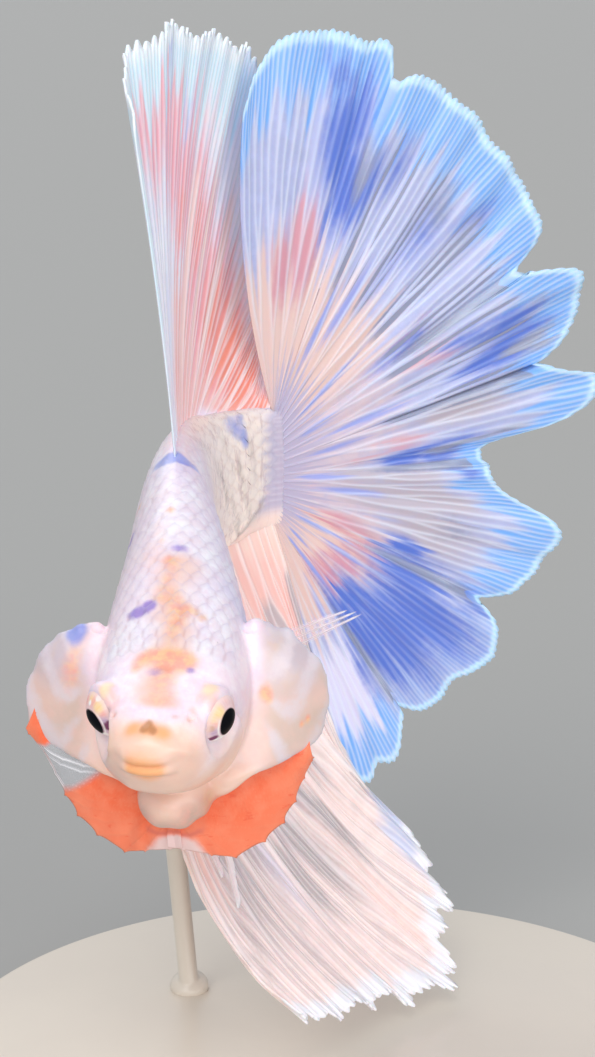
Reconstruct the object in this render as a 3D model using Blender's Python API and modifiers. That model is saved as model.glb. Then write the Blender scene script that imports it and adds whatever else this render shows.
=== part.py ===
"""A halfmoon betta, life size, flaring with every fin spread, held over a flat base by a slim rod.

The fish is drawn along a bent backbone. A place on it is given as (station, left, up): millimetres back from
the snout along the backbone, out to the fish's left, and towards its back. The snout points along -Y, the
tail swings to +X, and the base stands on z = 0 about the origin. Sizes are in millimetres and angles in
degrees.
"""

import math

import bmesh
import bpy
import numpy as np
from mathutils import Vector

MM = 0.001
GAP = 0.3

# The backbone: where the snout is, how the fish turns to its left, and how its tail stands above its head.
BODY_LENGTH = 45.0
SNOUT_AT = (-12.3, -26.0, 32.6)
HEADING = [(0, 11), (6, 8.5), (12, 0), (18, -2), (28, -2), (36, 15), (41, 45), (45, 67)]
CLIMB = [(0, 20), (15, 20), (28, 17), (36, 7), (45, 0)]

# The body's sections: station, half width, height of the back and depth of the belly from the backbone.
SECTIONS = [
    (0.0, 2.7, 2.2, 2.6),
    (2.0, 3.5, 2.7, 3.5),
    (4.5, 4.4, 3.6, 4.4),
    (8.0, 5.0, 4.6, 5.2),
    (12.0, 5.0, 5.4, 5.8),
    (17.0, 4.5, 6.0, 6.5),
    (23.0, 3.7, 6.3, 6.8),
    (30.0, 2.8, 6.0, 6.7),
    (37.0, 2.0, 5.2, 6.3),
    (42.0, 1.5, 4.7, 5.5),
    (45.0, 1.1, 4.6, 5.0),
]
SQUARENESS = [(0, 2.2), (5, 2.5), (10, 2.5), (18, 2.1), (45, 2.0)]  # 2 is an ellipse, and more is boxier
SNOUT_ROUND = 3.2  # the snout closes over this length as an ellipse does
SNOUT_LIFT = 1.3  # the mouth sits above the backbone's line
LIFT_FADE = 10.0


def through(keys, at):
    """Values at `at` on a smooth curve through keys, rows that start with their place along it.
    Each span is a cubic that keeps the slope of its neighbours."""
    keys = np.asarray(keys, float)
    at = np.asarray(at, float)
    place, value = keys[:, 0], keys[:, 1:]
    slope = np.gradient(value, place, axis=0)
    i = np.clip(np.searchsorted(place, at, side="right") - 1, 0, len(place) - 2)
    span = (place[i + 1] - place[i])[..., None]
    t = (at - place[i])[..., None] / span
    return (
        (2 * t**3 - 3 * t**2 + 1) * value[i]
        + (t**3 - 2 * t**2 + t) * span * slope[i]
        + (3 * t**2 - 2 * t**3) * value[i + 1]
        + (t**3 - t**2) * span * slope[i + 1]
    )


def backbone():
    """Stations, points and the directions left, up and tailward, from the backbone's heading and climb."""
    station = np.linspace(-4, BODY_LENGTH + 4, 401)
    inside = np.clip(station, 0, BODY_LENGTH)
    turn = np.radians(through(HEADING, inside)[:, 0])
    rise = np.radians(through(CLIMB, inside)[:, 0])
    back = np.stack([np.sin(turn) * np.cos(rise), np.cos(turn) * np.cos(rise), np.sin(rise)], 1)
    steps = (back[1:] + back[:-1]) / 2 * np.diff(station)[:, None]
    points = np.concatenate([np.zeros((1, 3)), np.cumsum(steps, 0)])
    points += np.array(SNOUT_AT) - [np.interp(0, station, points[:, k]) for k in range(3)]
    up = np.stack([-np.sin(turn) * np.sin(rise), -np.cos(turn) * np.sin(rise), np.cos(rise)], 1)
    left = np.cross(back, up)
    return station, points, left, up, back


BACKBONE = backbone()


def along(which, station):
    """One of the backbone's columns, 1 points, 2 left, 3 up or 4 tailward, at the stations given."""
    column = BACKBONE[which]
    return np.stack([np.interp(station, BACKBONE[0], column[:, k]) for k in range(3)], -1)


def place(station, left, up):
    """The world point, in millimetres, of a place on the fish."""
    station, left, up = np.broadcast_arrays(*(np.asarray(v, float) for v in (station, left, up)))
    return along(1, station) + left[..., None] * along(2, station) + up[..., None] * along(3, station)


def body_sizes(station):
    """Half width, back height and belly depth, closed as an ellipse at the snout, and the middle's lift."""
    size = through(SECTIONS, np.clip(station, 0, BODY_LENGTH))
    ahead = np.clip(station / SNOUT_ROUND, 0, 1)
    size = size * np.sqrt(1 - (1 - ahead) ** 2)[..., None]
    fade = np.clip(1 - station / LIFT_FADE, 0, 1)
    return size[..., 0], size[..., 1], size[..., 2], SNOUT_LIFT * fade**2


def skin_place(station, angle):
    """(station, left, up) of the skin. angle goes round from the fish's left side over its back."""
    width, back, belly, lift = body_sizes(station)
    power = 2 / through(SQUARENESS, np.clip(station, 0, BODY_LENGTH))[..., 0]
    across, over = np.cos(angle), np.sin(angle)
    height = np.where(over > 0, back, belly)
    left = width * np.sign(across) * np.abs(across) ** power
    return station, left, lift + height * np.sign(over) * np.abs(over) ** power


# ---------------------------------------------------------------- the scene and what makes meshes in it

for old in list(bpy.data.objects):
    bpy.data.objects.remove(old, do_unlink=True)

fish = bpy.data.collections.new("halfmoon_betta")
cutters = bpy.data.collections.new("cutters")
for group in (fish, cutters):
    bpy.context.scene.collection.children.link(group)


def finish_of(name, colour, roughness, metallic=0.0):
    material = bpy.data.materials.new(name)
    material.use_nodes = True
    shader = material.node_tree.nodes["Principled BSDF"]
    shader.inputs["Base Color"].default_value = (*colour, 1)
    shader.inputs["Roughness"].default_value = roughness
    shader.inputs["Metallic"].default_value = metallic
    return material


PEARL = finish_of("pearl_skin", (0.90, 0.80, 0.82), 0.35)
CREAM = finish_of("cream_cheek", (0.92, 0.78, 0.68), 0.4)
ORANGE = finish_of("orange_membrane", (0.95, 0.30, 0.14), 0.45)
BLUE_FIN = finish_of("blue_white_fin", (0.72, 0.80, 0.95), 0.4)
ROSE_FIN = finish_of("rose_fin", (0.93, 0.66, 0.66), 0.4)
WHITE_FIN = finish_of("white_fin", (0.95, 0.90, 0.90), 0.4)
EYE = finish_of("eye", (0.03, 0.03, 0.04), 0.1)
CLEAR = finish_of("clear_acrylic", (0.85, 0.88, 0.90), 0.1)


def keep(name, mesh, material, group=fish):
    """A named object for a mesh, shaded smooth, in the collection given."""
    mesh.materials.append(material)
    mesh.shade_smooth()
    made = bpy.data.objects.new(name, mesh)
    group.objects.link(made)
    return made


def grid_faces(rows, columns, closed):
    """Quads between neighbouring rows of points. A closed row joins its last point to its first."""
    r, c = np.meshgrid(np.arange(rows - 1), np.arange(columns if closed else columns - 1), indexing="ij")
    nxt = (c + 1) % columns
    corners = [r * columns + c, r * columns + nxt, (r + 1) * columns + nxt, (r + 1) * columns + c]
    return np.stack(corners, -1).reshape(-1, 4)


def around(sides):
    """Evenly spaced angles of a full turn."""
    return np.arange(sides) * 2 * math.pi / sides


def mesh_of(name, points, faces):
    mesh = bpy.data.meshes.new(name)
    mesh.from_pydata((np.asarray(points) * MM).tolist(), [], [list(f) for f in faces])
    return mesh


def turned_out(mesh):
    """The mesh with its faces pointing outwards."""
    shape = bmesh.new()
    shape.from_mesh(mesh)
    bmesh.ops.recalc_face_normals(shape, faces=shape.faces)
    shape.to_mesh(mesh)
    shape.free()
    return mesh


def body_length(name, first, last, rows, sides=24, grow=0.0):
    """A length of the body as a loft of its sections, closed by a flat end or, at the snout, by a small cap.
    grow stands its surface out all round."""
    spread = np.linspace(0, 1, rows)
    station = first + (last - first) * (spread**1.6 if first < 1 else spread)
    station, angle = np.meshgrid(station, around(sides), indexing="ij")
    station, left, up = skin_place(station, angle)
    station = station - grow * (station < SNOUT_ROUND)
    points = place(station, left + grow * np.cos(angle), up + grow * np.sin(angle))
    faces = [list(f) for f in grid_faces(rows, sides, True)]
    faces += [list(range(sides)), list(range(rows * sides - sides, rows * sides))]
    return turned_out(mesh_of(name, points.reshape(-1, 3), faces))


def sheet(name, points, material, thickness=0.55):
    """A thin piece from a grid of points, thickened about its middle."""
    rows, columns = points.shape[:2]
    mesh = mesh_of(name, points.reshape(-1, 3), grid_faces(rows, columns, False))
    made = keep(name, mesh, material)
    solidify = made.modifiers.new("thickness", "SOLIDIFY")
    solidify.thickness = thickness * MM
    solidify.offset = 0
    return made


def boolean(target, cutter, operation):
    """Applies a Boolean and returns the target."""
    modifier = target.modifiers.new(operation.lower(), "BOOLEAN")
    modifier.operation = operation
    modifier.object = cutter
    cutter.hide_render = True
    cutter.display_type = "WIRE"
    return target


# ---------------------------------------------------------------- body

NECK, WAIST = 12.0, 33.0
head = keep("head", body_length("head", 0.02, NECK - GAP / 2, 16), PEARL)
trunk = keep("trunk", body_length("trunk", NECK + GAP / 2, WAIST - GAP / 2, 14), PEARL)
stalk = keep("tail_stalk", body_length("tail_stalk", WAIST + GAP / 2, BODY_LENGTH, 12), PEARL)

# The lower jaw is the front of the head below the mouth's line, which runs down and back from the lips.
JAW_BACK = 4.4
MOUTH_FRONT, MOUTH_BACK = 0.9, -0.7


def jaw_block(name, slack):
    """A block round the lower jaw, slack bigger above and behind it: a cube with its corners moved to places
    on the fish."""
    mesh = bpy.data.meshes.new(name)
    shape = bmesh.new()
    bmesh.ops.create_cube(shape, size=2.0)
    slope = (MOUTH_BACK - MOUTH_FRONT) / (JAW_BACK + 1)
    for corner in shape.verts:
        ahead, aside, above = corner.co
        station = -2.0 if ahead < 0 else JAW_BACK + slack
        height = MOUTH_FRONT + slope * (station + 1) + slack if above > 0 else -9.0
        corner.co = place(station, 7.0 * aside, height) * MM
    shape.to_mesh(mesh)
    shape.free()
    return keep(name, turned_out(mesh), PEARL, cutters)


jaw = keep("lower_jaw", body_length("lower_jaw", 0.02, NECK - GAP / 2, 16), PEARL)
boolean(jaw, jaw_block("jaw_side", -GAP / 2), "INTERSECT")
boolean(head, jaw_block("head_side", GAP / 2), "DIFFERENCE")

# The throat swells down behind the chin when the fish flares: station, middle, half width and half depth.
THROAT = [
    (3.2, -5.9, 0.7, 0.6),
    (3.9, -5.7, 1.7, 1.3),
    (5.0, -5.5, 2.3, 1.9),
    (6.5, -5.5, 2.4, 2.1),
    (8.5, -5.8, 2.0, 1.6),
    (10.5, -6.1, 1.1, 0.9),
]


def throat_mesh(name, rows=9, sides=20):
    station, angle = np.meshgrid(np.linspace(3.2, 10.5, rows), around(sides), indexing="ij")
    size = through(THROAT, station)
    points = place(station, size[..., 1] * np.cos(angle), size[..., 0] + size[..., 2] * np.sin(angle))
    faces = [list(f) for f in grid_faces(rows, sides, True)]
    faces += [list(range(sides)), list(range(rows * sides - sides, rows * sides))]
    return turned_out(mesh_of(name, points.reshape(-1, 3), faces))


throat = keep("throat", throat_mesh("throat"), CREAM)
room = keep("body_room", body_length("body_room", 0.02, BODY_LENGTH, 34, grow=GAP), PEARL, cutters)
boolean(throat, room, "DIFFERENCE")

# ---------------------------------------------------------------- eyes

EYE_AT = (4.8, 3.35, 2.0)
EYE_RADIUS = 1.75


def ball(name, centre, radius, material, group):
    mesh = bpy.data.meshes.new(name)
    shape = bmesh.new()
    bmesh.ops.create_uvsphere(shape, u_segments=16, v_segments=10, radius=radius * MM)
    shape.to_mesh(mesh)
    shape.free()
    made = keep(name, mesh, material, group)
    made.location = centre * MM
    return made


for side, sign in (("left", 1), ("right", -1)):
    centre = place(EYE_AT[0], sign * EYE_AT[1], EYE_AT[2])
    ball("eye_" + side, centre, EYE_RADIUS, EYE, fish)
    boolean(head, ball("eye_socket_" + side, centre, EYE_RADIUS + GAP, EYE, cutters), "DIFFERENCE")


# ---------------------------------------------------------------- gill covers and the membranes below them

def between(inner, outer, rows, columns, bulge=(0, 0, 0)):
    """A grid of world points ruled between two edges, each a smooth curve through its own keys of places.
    bulge pushes its middle out, in (station, left, up)."""
    u, v = np.meshgrid(np.linspace(0, 1, columns), np.linspace(0, 1, rows), indexing="ij")
    low = through([(k / (len(inner) - 1), *p) for k, p in enumerate(inner)], u)
    high = through([(k / (len(outer) - 1), *p) for k, p in enumerate(outer)], u)
    spot = low + (high - low) * v[..., None] + np.array(bulge) * (4 * v * (1 - v))[..., None]
    return spot


COVER_HINGE = [
    (12.0, 4.9, 2.9),
    (11.0, 5.35, 1.6),
    (10.2, 5.55, 0.2),
    (9.4, 5.5, -1.2),
    (8.6, 5.2, -2.4),
    (7.6, 4.8, -3.5),
    (6.8, 4.3, -4.2),
]
COVER_EDGE = [
    (13.2, 5.6, 2.8),
    (12.7, 7.6, 2.1),
    (12.1, 9.2, 0.4),
    (11.7, 9.8, -1.8),
    (10.6, 9.4, -4.2),
    (9.0, 7.2, -4.6),
    (7.2, 4.9, -4.9),
]
MEMBRANE_ROOT = [
    (10.4, 9.5, -5.1),
    (9.2, 7.4, -5.3),
    (7.8, 5.5, -5.4),
    (6.6, 4.2, -5.6),
    (5.5, 3.2, -6.1),
    (4.9, 2.6, -7.3),
    (4.5, 0.4, -8.1),
]
MEMBRANE_EDGE = [
    (9.8, 9.2, -5.8),
    (9.2, 8.2, -7.2),
    (8.4, 7.3, -8.9),
    (7.4, 6.0, -10.3),
    (6.3, 3.9, -10.9),
    (5.4, 1.8, -10.0),
    (5.0, 0.4, -9.3),
]

for side, sign in (("left", 1), ("right", -1)):
    flip = np.array([1, sign, 1])
    cover = between(COVER_HINGE, COVER_EDGE, 8, 11, (-0.5, 0.3, 0)) * flip
    sheet("gill_cover_" + side, place(*np.moveaxis(cover, -1, 0)), CREAM)
    membrane = between(MEMBRANE_ROOT, MEMBRANE_EDGE, 6, 13, (-0.8, 0, 0)) * flip
    sheet("gill_membrane_" + side, place(*np.moveaxis(membrane, -1, 0)), ORANGE)


# ---------------------------------------------------------------- fins

def spread(root, aim, length, rows, bow=(0.0, 0.0)):
    """A fan of rays. root is (station, left, up), aim is (sweep, lean) in degrees: sweep turns a ray in the
    fish's midplane from up (0) through tailward (90) to down (180), and lean tips it to the fish's left.
    bow bends it in its middle, tailward and to the left, as a share of its length."""
    station, left, up = (np.asarray(v, float) for v in root)
    sweep, lean = (np.radians(np.asarray(v, float)) for v in aim)
    length = np.asarray(length, float)
    across, above, back = along(2, station), along(3, station), along(4, station)
    start = place(station, left, up)
    plane = np.cos(sweep)[:, None] * above + np.sin(sweep)[:, None] * back
    ray = np.cos(lean)[:, None] * plane + np.sin(lean)[:, None] * across
    bend_in = np.cos(sweep)[:, None] * back - np.sin(sweep)[:, None] * above
    bend = np.asarray(bow[0])[..., None] * bend_in + np.asarray(bow[1])[..., None] * across + 0 * ray
    v = np.linspace(0, 1, rows)[None, :, None]
    return start[:, None] + length[:, None, None] * (v * ray[:, None] + 4 * v * (1 - v) * bend[:, None])


def draped(root, aim, edge, rows, stiff):
    """A fan of rays that leave root along aim, a (sweep, lean) as in spread, and end on edge, points measured
    from the snout. stiff is how much of a ray's length keeps its first direction."""
    station, left, up = (np.asarray(v, float) for v in root)
    sweep, lean = (np.radians(np.asarray(v, float)) for v in aim)
    start = place(station, left, up)
    plane = np.cos(sweep)[:, None] * along(3, station) + np.sin(sweep)[:, None] * along(4, station)
    ray = np.cos(lean)[:, None] * plane + np.sin(lean)[:, None] * along(2, station)
    edge = np.asarray(edge) + SNOUT_AT
    reach = np.linalg.norm(edge - start, axis=1)[:, None]
    middle = start + ray * reach * np.asarray(stiff)[..., None]
    v = np.linspace(0, 1, rows)[None, :, None]
    return (1 - v) ** 2 * start[:, None] + 2 * v * (1 - v) * middle[:, None] + v**2 * edge[:, None]


# Tail fin: rays from the rounded edge of the tail stalk. Its seven lobes run from one sweep to the next, with
# the ray lengths at their first edge, their peak and their last edge, and where in the lobe the peak is.
TAIL_LOBES = [
    (-6.5, 21.2, 22.6, 28.6, 27.9, 0.75),
    (21.6, 59.2, 26.9, 27.9, 24.4, 0.35),
    (59.6, 76.5, 24.8, 28.2, 23.7, 0.45),
    (77.0, 93.0, 24.8, 28.1, 17.7, 0.35),
    (93.6, 120.0, 17.8, 25.6, 20.6, 0.60),
    (120.5, 148.8, 21.6, 23.0, 19.6, 0.40),
    (149.3, 163.0, 20.6, 24.2, 19.0, 0.65),
]
TAIL_RIPPLE = 0.7


def tail_lengths(sweep):
    """Ray length, and how far each ray's tip stands out of the fan, lobe by lobe."""
    length, out = np.zeros_like(sweep), np.zeros_like(sweep)
    for first, last, start, peak, end, peak_at in TAIL_LOBES:
        here = (sweep >= first - 0.25) & (sweep <= last + 0.25)
        t = (sweep[here] - first) / (last - first)
        keys = [(0, start), (peak_at / 2, peak - (peak - start) * 0.15), (peak_at, peak),
                ((1 + peak_at) / 2, peak - (peak - end) * 0.3), (1, end)]
        length[here] = through(keys, np.clip(t, 0, 1))[:, 0]
        out[here] = np.cos(math.pi * np.clip(t, 0, 1))
    return length, out


rays = [np.linspace(lobe[0], lobe[1], max(5, round((lobe[1] - lobe[0]) / 2.8))) for lobe in TAIL_LOBES]
sweep = np.concatenate(rays)
length, out = tail_lengths(sweep)
turn = np.radians(90 - 180 * (sweep - sweep[0]) / (sweep[-1] - sweep[0]))
tail_root = (BODY_LENGTH + GAP + 0.6 * np.cos(turn), 0 * turn, 4.3 * np.sin(turn))
forward = -0.045 * np.exp((TAIL_LOBES[0][0] - sweep) / 12)
tail = spread(tail_root, (sweep, 0 * turn), length, 8, (forward, 0 * turn))
rise = np.linspace(0, 1, 8) ** 2
tail += (out[:, None] * rise[None])[..., None] * TAIL_RIPPLE * along(2, np.array(BODY_LENGTH))
sheet("tail_fin", tail, BLUE_FIN)

# Dorsal fin.
DORSAL_EDGE = [
    (0.0, -1.4, 19.0, 38.4),
    (0.06, -2.2, 20.7, 41.5),
    (0.14, -1.7, 23.2, 43.6),
    (0.2, -0.2, 25.2, 44.2),
    (0.26, 0.2, 26.8, 45.1),
    (0.4, 1.9, 30.4, 44.9),
    (0.54, 3.4, 34.4, 44.4),
    (0.66, 5.0, 38.0, 43.4),
    (0.8, 5.9, 42.5, 41.7),
    (0.9, 7.0, 47.0, 36.7),
    (1.0, 7.9, 48.0, 28.7),
]
u = np.linspace(0, 1, 23)
base = 28.5 + 9.5 * u
dorsal_root = (base, 0 * u, body_sizes(base)[1] + GAP)
dorsal = draped(dorsal_root, (-4 + 60 * u, -3 - 3 * u), through(DORSAL_EDGE, u), 7, 0.45 + 0 * u)
sheet("dorsal_fin", dorsal, ROSE_FIN)

# Anal fin.
ANAL_EDGE = [
    (0, 9.5, 20.0, -24.3),
    (0.1, 11.1, 22.0, -25.5),
    (0.2, 12.8, 24.5, -25.7),
    (0.32, 14.9, 27.5, -26.4),
    (0.45, 18.3, 31.0, -27.5),
    (0.58, 21.0, 34.5, -27.6),
    (0.68, 20.5, 37.0, -25.6),
    (0.78, 20.9, 39.5, -23.0),
    (0.85, 19.4, 41.0, -20.6),
    (0.92, 17.9, 42.0, -18.3),
    (1, 15.2, 42.5, -15.5),
]
u = np.linspace(0, 1, 35)
base = 15.0 + 28.5 * u
anal_root = (base, 0 * u, -body_sizes(base)[2] - GAP)
anal = draped(anal_root, (172 - 7 * u, 5 * u - 9 * (1 - u) ** 3), through(ANAL_EDGE, u), 8, 0.72 - 0.25 * u)
sheet("anal_fin", anal, WHITE_FIN)

# Pelvic fins: slim, carried to the fish's left by its turn. Rows are side, lean and length.
for side, sign, lean, reach in (("left", 1, 9, 14.0), ("right", -1, 17, 11.5)):
    u = np.linspace(0, 1, 4)
    pelvic_root = (10.6 + 1.0 * u, sign * 1.2 + 0 * u, -6.4 + 0 * u)
    pelvic = spread(pelvic_root, (176 - 4 * u, lean + 0 * u), reach - 2.0 * u, 8)
    sheet("pelvic_fin_" + side, pelvic, WHITE_FIN)

# Pectoral fins: the left one is spread sideways and the right one is folded down along the body.
for side, sign, first, last, lean, reach in (("left", 1, 82, 98, 48, 7.0), ("right", -1, 118, 150, 16, 8.0)):
    u = np.linspace(0, 1, 9)
    pectoral_root = (13.8 + 0 * u, sign * 5.3 + 0 * u, 0.6 - 2.4 * u)
    pectoral = spread(pectoral_root, (first + (last - first) * u, sign * lean + 0 * u), reach + 0 * u, 7)
    sheet("pectoral_fin_" + side, pectoral, WHITE_FIN)

# ---------------------------------------------------------------- stand

BASE_RADIUS, BASE_HEIGHT = 30.0, 3.0
ROD_RADIUS = 0.75
ROD_FOOT = (-11.5, 11.0, BASE_HEIGHT + GAP)
ROD_HEAD = (-13.5, 1.65, 36.4)


def cylinder(name, foot, top, radius, sides):
    """A cylinder that stands on foot and reaches to top."""
    foot, top = Vector(foot) * MM, Vector(top) * MM
    mesh = bpy.data.meshes.new(name)
    shape = bmesh.new()
    bmesh.ops.create_cone(shape, cap_ends=True, segments=sides, radius1=radius * MM, radius2=radius * MM,
                          depth=(top - foot).length)
    shape.to_mesh(mesh)
    shape.free()
    made = keep(name, mesh, CLEAR)
    mesh.set_sharp_from_angle(angle=math.radians(40))
    made.location = (foot + top) / 2
    made.rotation_euler = (top - foot).to_track_quat("Z", "Y").to_euler()
    return made


disc = cylinder("stand_base", (0, 0, 0), (0, 0, BASE_HEIGHT), BASE_RADIUS, 60)
bevel = disc.modifiers.new("rounded_rim", "BEVEL")
bevel.width = 0.6 * MM
bevel.segments = 2
bevel.limit_method = "ANGLE"
boolean(cylinder("stand_rod", ROD_FOOT, ROD_HEAD, ROD_RADIUS, 16), room, "DIFFERENCE")
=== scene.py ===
import math

import bpy
import numpy as np
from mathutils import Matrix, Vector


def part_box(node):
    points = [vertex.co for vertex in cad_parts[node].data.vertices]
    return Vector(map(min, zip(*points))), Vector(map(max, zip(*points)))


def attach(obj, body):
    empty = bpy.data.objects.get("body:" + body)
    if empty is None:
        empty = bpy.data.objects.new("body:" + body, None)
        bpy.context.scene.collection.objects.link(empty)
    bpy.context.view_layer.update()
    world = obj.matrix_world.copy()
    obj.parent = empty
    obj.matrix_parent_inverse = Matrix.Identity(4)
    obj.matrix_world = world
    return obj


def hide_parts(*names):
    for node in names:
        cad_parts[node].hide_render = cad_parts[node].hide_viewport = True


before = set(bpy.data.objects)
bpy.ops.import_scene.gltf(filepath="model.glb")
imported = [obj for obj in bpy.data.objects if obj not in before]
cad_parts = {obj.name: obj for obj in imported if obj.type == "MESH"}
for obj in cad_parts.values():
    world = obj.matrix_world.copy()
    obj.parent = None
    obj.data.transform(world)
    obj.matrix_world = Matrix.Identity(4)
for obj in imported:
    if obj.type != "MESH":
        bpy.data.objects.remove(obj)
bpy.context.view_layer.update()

# ---------------------------------------------------------------- skin
# One wet, pearly skin runs unbroken over the lips, head, throat, gill covers, trunk and tail stalk. Its
# shapes are lofted about the bent backbone, in millimetres, fused into one surface and then worked like
# clay: lips, nostrils, eye sockets, cheek creases and the folds inside the bend. It lies inside the scales'
# depth.

MM = 0.001
SCALE_DEPTH = 0.1
BODY_LENGTH = 45.0
SNOUT_AT = (-12.3, -26.0, 32.6)
HEADING = [(0, 11), (6, 8.5), (12, 0), (18, -2), (28, -2), (36, 15), (41, 45), (45, 67)]
CLIMB = [(0, 20), (15, 20), (28, 17), (36, 7), (45, 0)]
# Station, half width, height of the back and depth of the belly from the backbone.
SECTIONS = [
    (0.0, 2.7, 2.2, 2.6),
    (2.0, 3.5, 2.7, 3.5),
    (4.5, 4.4, 3.6, 4.4),
    (8.0, 5.0, 4.6, 5.2),
    (12.0, 5.0, 5.4, 5.8),
    (17.0, 4.5, 6.0, 6.5),
    (23.0, 3.7, 6.3, 6.8),
    (30.0, 2.8, 6.0, 6.7),
    (37.0, 2.0, 5.2, 6.3),
    (42.0, 1.5, 4.7, 5.5),
    (45.0, 1.1, 4.6, 5.0),
]
SQUARENESS = [(0, 2.2), (5, 2.5), (10, 2.5), (18, 2.1), (45, 2.0)]
SNOUT_ROUND, SNOUT_LIFT, LIFT_FADE = 3.2, 1.3, 10.0
STALK_THINS, STALK_EDGE = 42.4, 46.6


def through(keys, at):
    """Values at `at` on a smooth curve through keys, rows that start with their place along it.
    Each span is a cubic that keeps the slope of its neighbours."""
    keys = np.asarray(keys, float)
    at = np.asarray(at, float)
    where, value = keys[:, 0], keys[:, 1:]
    slope = np.gradient(value, where, axis=0)
    i = np.clip(np.searchsorted(where, at, side="right") - 1, 0, len(where) - 2)
    span = (where[i + 1] - where[i])[..., None]
    t = (at - where[i])[..., None] / span
    return (
        (2 * t**3 - 3 * t**2 + 1) * value[i]
        + (t**3 - 2 * t**2 + t) * span * slope[i]
        + (3 * t**2 - 2 * t**3) * value[i + 1]
        + (t**3 - t**2) * span * slope[i + 1]
    )


def backbone():
    """Stations, points and the directions left, up and tailward: the heading and climb summed step by
    step."""
    station = np.linspace(-4, BODY_LENGTH + 4, 401)
    inside = np.clip(station, 0, BODY_LENGTH)
    turn = np.radians(through(HEADING, inside)[:, 0])
    rise = np.radians(through(CLIMB, inside)[:, 0])
    back = np.stack([np.sin(turn) * np.cos(rise), np.cos(turn) * np.cos(rise), np.sin(rise)], 1)
    steps = (back[1:] + back[:-1]) / 2 * np.diff(station)[:, None]
    points = np.concatenate([np.zeros((1, 3)), np.cumsum(steps, 0)])
    points += np.array(SNOUT_AT) - [np.interp(0, station, points[:, k]) for k in range(3)]
    up = np.stack([-np.sin(turn) * np.sin(rise), -np.cos(turn) * np.sin(rise), np.cos(rise)], 1)
    return station, points, np.cross(back, up), up, back


BACKBONE = backbone()


def along(which, station):
    """One of the backbone's columns, 1 points, 2 left, 3 up or 4 tailward, at the stations given."""
    return np.stack([np.interp(station, BACKBONE[0], BACKBONE[which][:, k]) for k in range(3)], -1)


def place(station, left, up):
    """World points, in millimetres, of places on the fish: a step left and up from the backbone at a
    station."""
    station, left, up = np.broadcast_arrays(*(np.asarray(v, float) for v in (station, left, up)))
    return along(1, station) + left[..., None] * along(2, station) + up[..., None] * along(3, station)


def fish_place(points):
    """(station, left, up) of world points: each slides along the backbone until it is abreast of it."""
    station = np.interp(points[:, 1], BACKBONE[1][:, 1], BACKBONE[0])
    for _ in range(14):
        station = station + 0.75 * ((points - along(1, station)) * along(4, station)).sum(1)
        station = np.clip(station, BACKBONE[0][0], BACKBONE[0][-1])
    off = points - along(1, station)
    return station, (off * along(2, station)).sum(1), (off * along(3, station)).sum(1)


def skin_place(station, angle, inset=SCALE_DEPTH):
    """(station, left, up) of the skin: a squared ellipse that closes round at the snout and thins to an edge
    in the tail fin's root. angle goes round from the left side over the back."""
    inside = np.clip(station, 0, BODY_LENGTH)
    ahead = np.clip(station / SNOUT_ROUND, 0, 1)
    size = (through(SECTIONS, inside) - inset) * np.sqrt(1 - (1 - ahead) ** 2)[..., None]
    thin = np.clip((station - STALK_THINS) / (STALK_EDGE - STALK_THINS), 0, 1)
    width = size[..., 0] * (1 - thin) ** 0.85
    lift = SNOUT_LIFT * np.clip(1 - station / LIFT_FADE, 0, 1) ** 2
    power = 2 / through(SQUARENESS, inside)[..., 0]
    across, over = np.cos(angle), np.sin(angle)
    height = np.where(over > 0, size[..., 1], size[..., 2])
    left = width * np.sign(across) * np.abs(across) ** power
    return station, left, lift + height * np.sign(over) * np.abs(over) ** power


def grid_faces(rows, columns, closed=False):
    """Quads between neighbouring rows of points. A closed row joins its last point to its first."""
    r, c = np.meshgrid(np.arange(rows - 1), np.arange(columns if closed else columns - 1), indexing="ij")
    nxt = (c + 1) % columns
    corners = [r * columns + c, (r + 1) * columns + c, (r + 1) * columns + nxt, r * columns + nxt]
    return np.stack(corners, -1).reshape(-1, 4)


def tube(points):
    """(points, faces) of a closed loft: rings of points, joined and shut at both ends."""
    rings, sides = points.shape[:2]
    faces = grid_faces(rings, sides, True).tolist()
    faces += [list(range(sides)), list(range((rings - 1) * sides, rings * sides))[::-1]]
    return points.reshape(-1, 3), faces


def leaf(points, half):
    """(points, faces) of a closed thin sheet: a grid of points stood off by half its thickness to both
    sides."""
    normal = np.cross(np.gradient(points, axis=0), np.gradient(points, axis=1))
    normal /= np.maximum(np.linalg.norm(normal, axis=-1, keepdims=True), 1e-9)
    rows, columns = points.shape[:2]
    half = np.broadcast_to(half, (rows, columns))[..., None]
    both = np.concatenate([(points + normal * half).reshape(-1, 3), (points - normal * half).reshape(-1, 3)])
    index = np.arange(rows * columns).reshape(rows, columns)
    rim = np.concatenate([index[0, :-1], index[:-1, -1], index[-1, :0:-1], index[:0:-1, 0]])
    after = np.roll(rim, -1)
    front = grid_faces(rows, columns)
    other = rows * columns
    edge = np.stack([rim, after, after + other, rim + other], 1)
    return both, np.concatenate([front, front[:, ::-1] + other, edge]).tolist()


def spin(angles):
    """Evenly spaced angles of a full turn."""
    return np.arange(angles) * 2 * math.pi / angles


def hump(distance, width):
    """1 at no distance, falling away as a bell of that width."""
    return np.exp(-((distance / width) ** 2))


def ease(t):
    """0 below 0, 1 above 1 and a smooth step between."""
    t = np.clip(t, 0, 1)
    return t * t * (3 - 2 * t)


def ruled(inner, outer, u, v, bulge=(0, 0, 0)):
    """Places ruled between two edges, each a smooth curve through its own keys, pushed out in the middle."""
    low = through([(k / (len(inner) - 1), *p) for k, p in enumerate(inner)], u)
    high = through([(k / (len(outer) - 1), *p) for k, p in enumerate(outer)], u)
    return low + (high - low) * v[..., None] + np.array(bulge) * (4 * v * (1 - v))[..., None]


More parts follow.
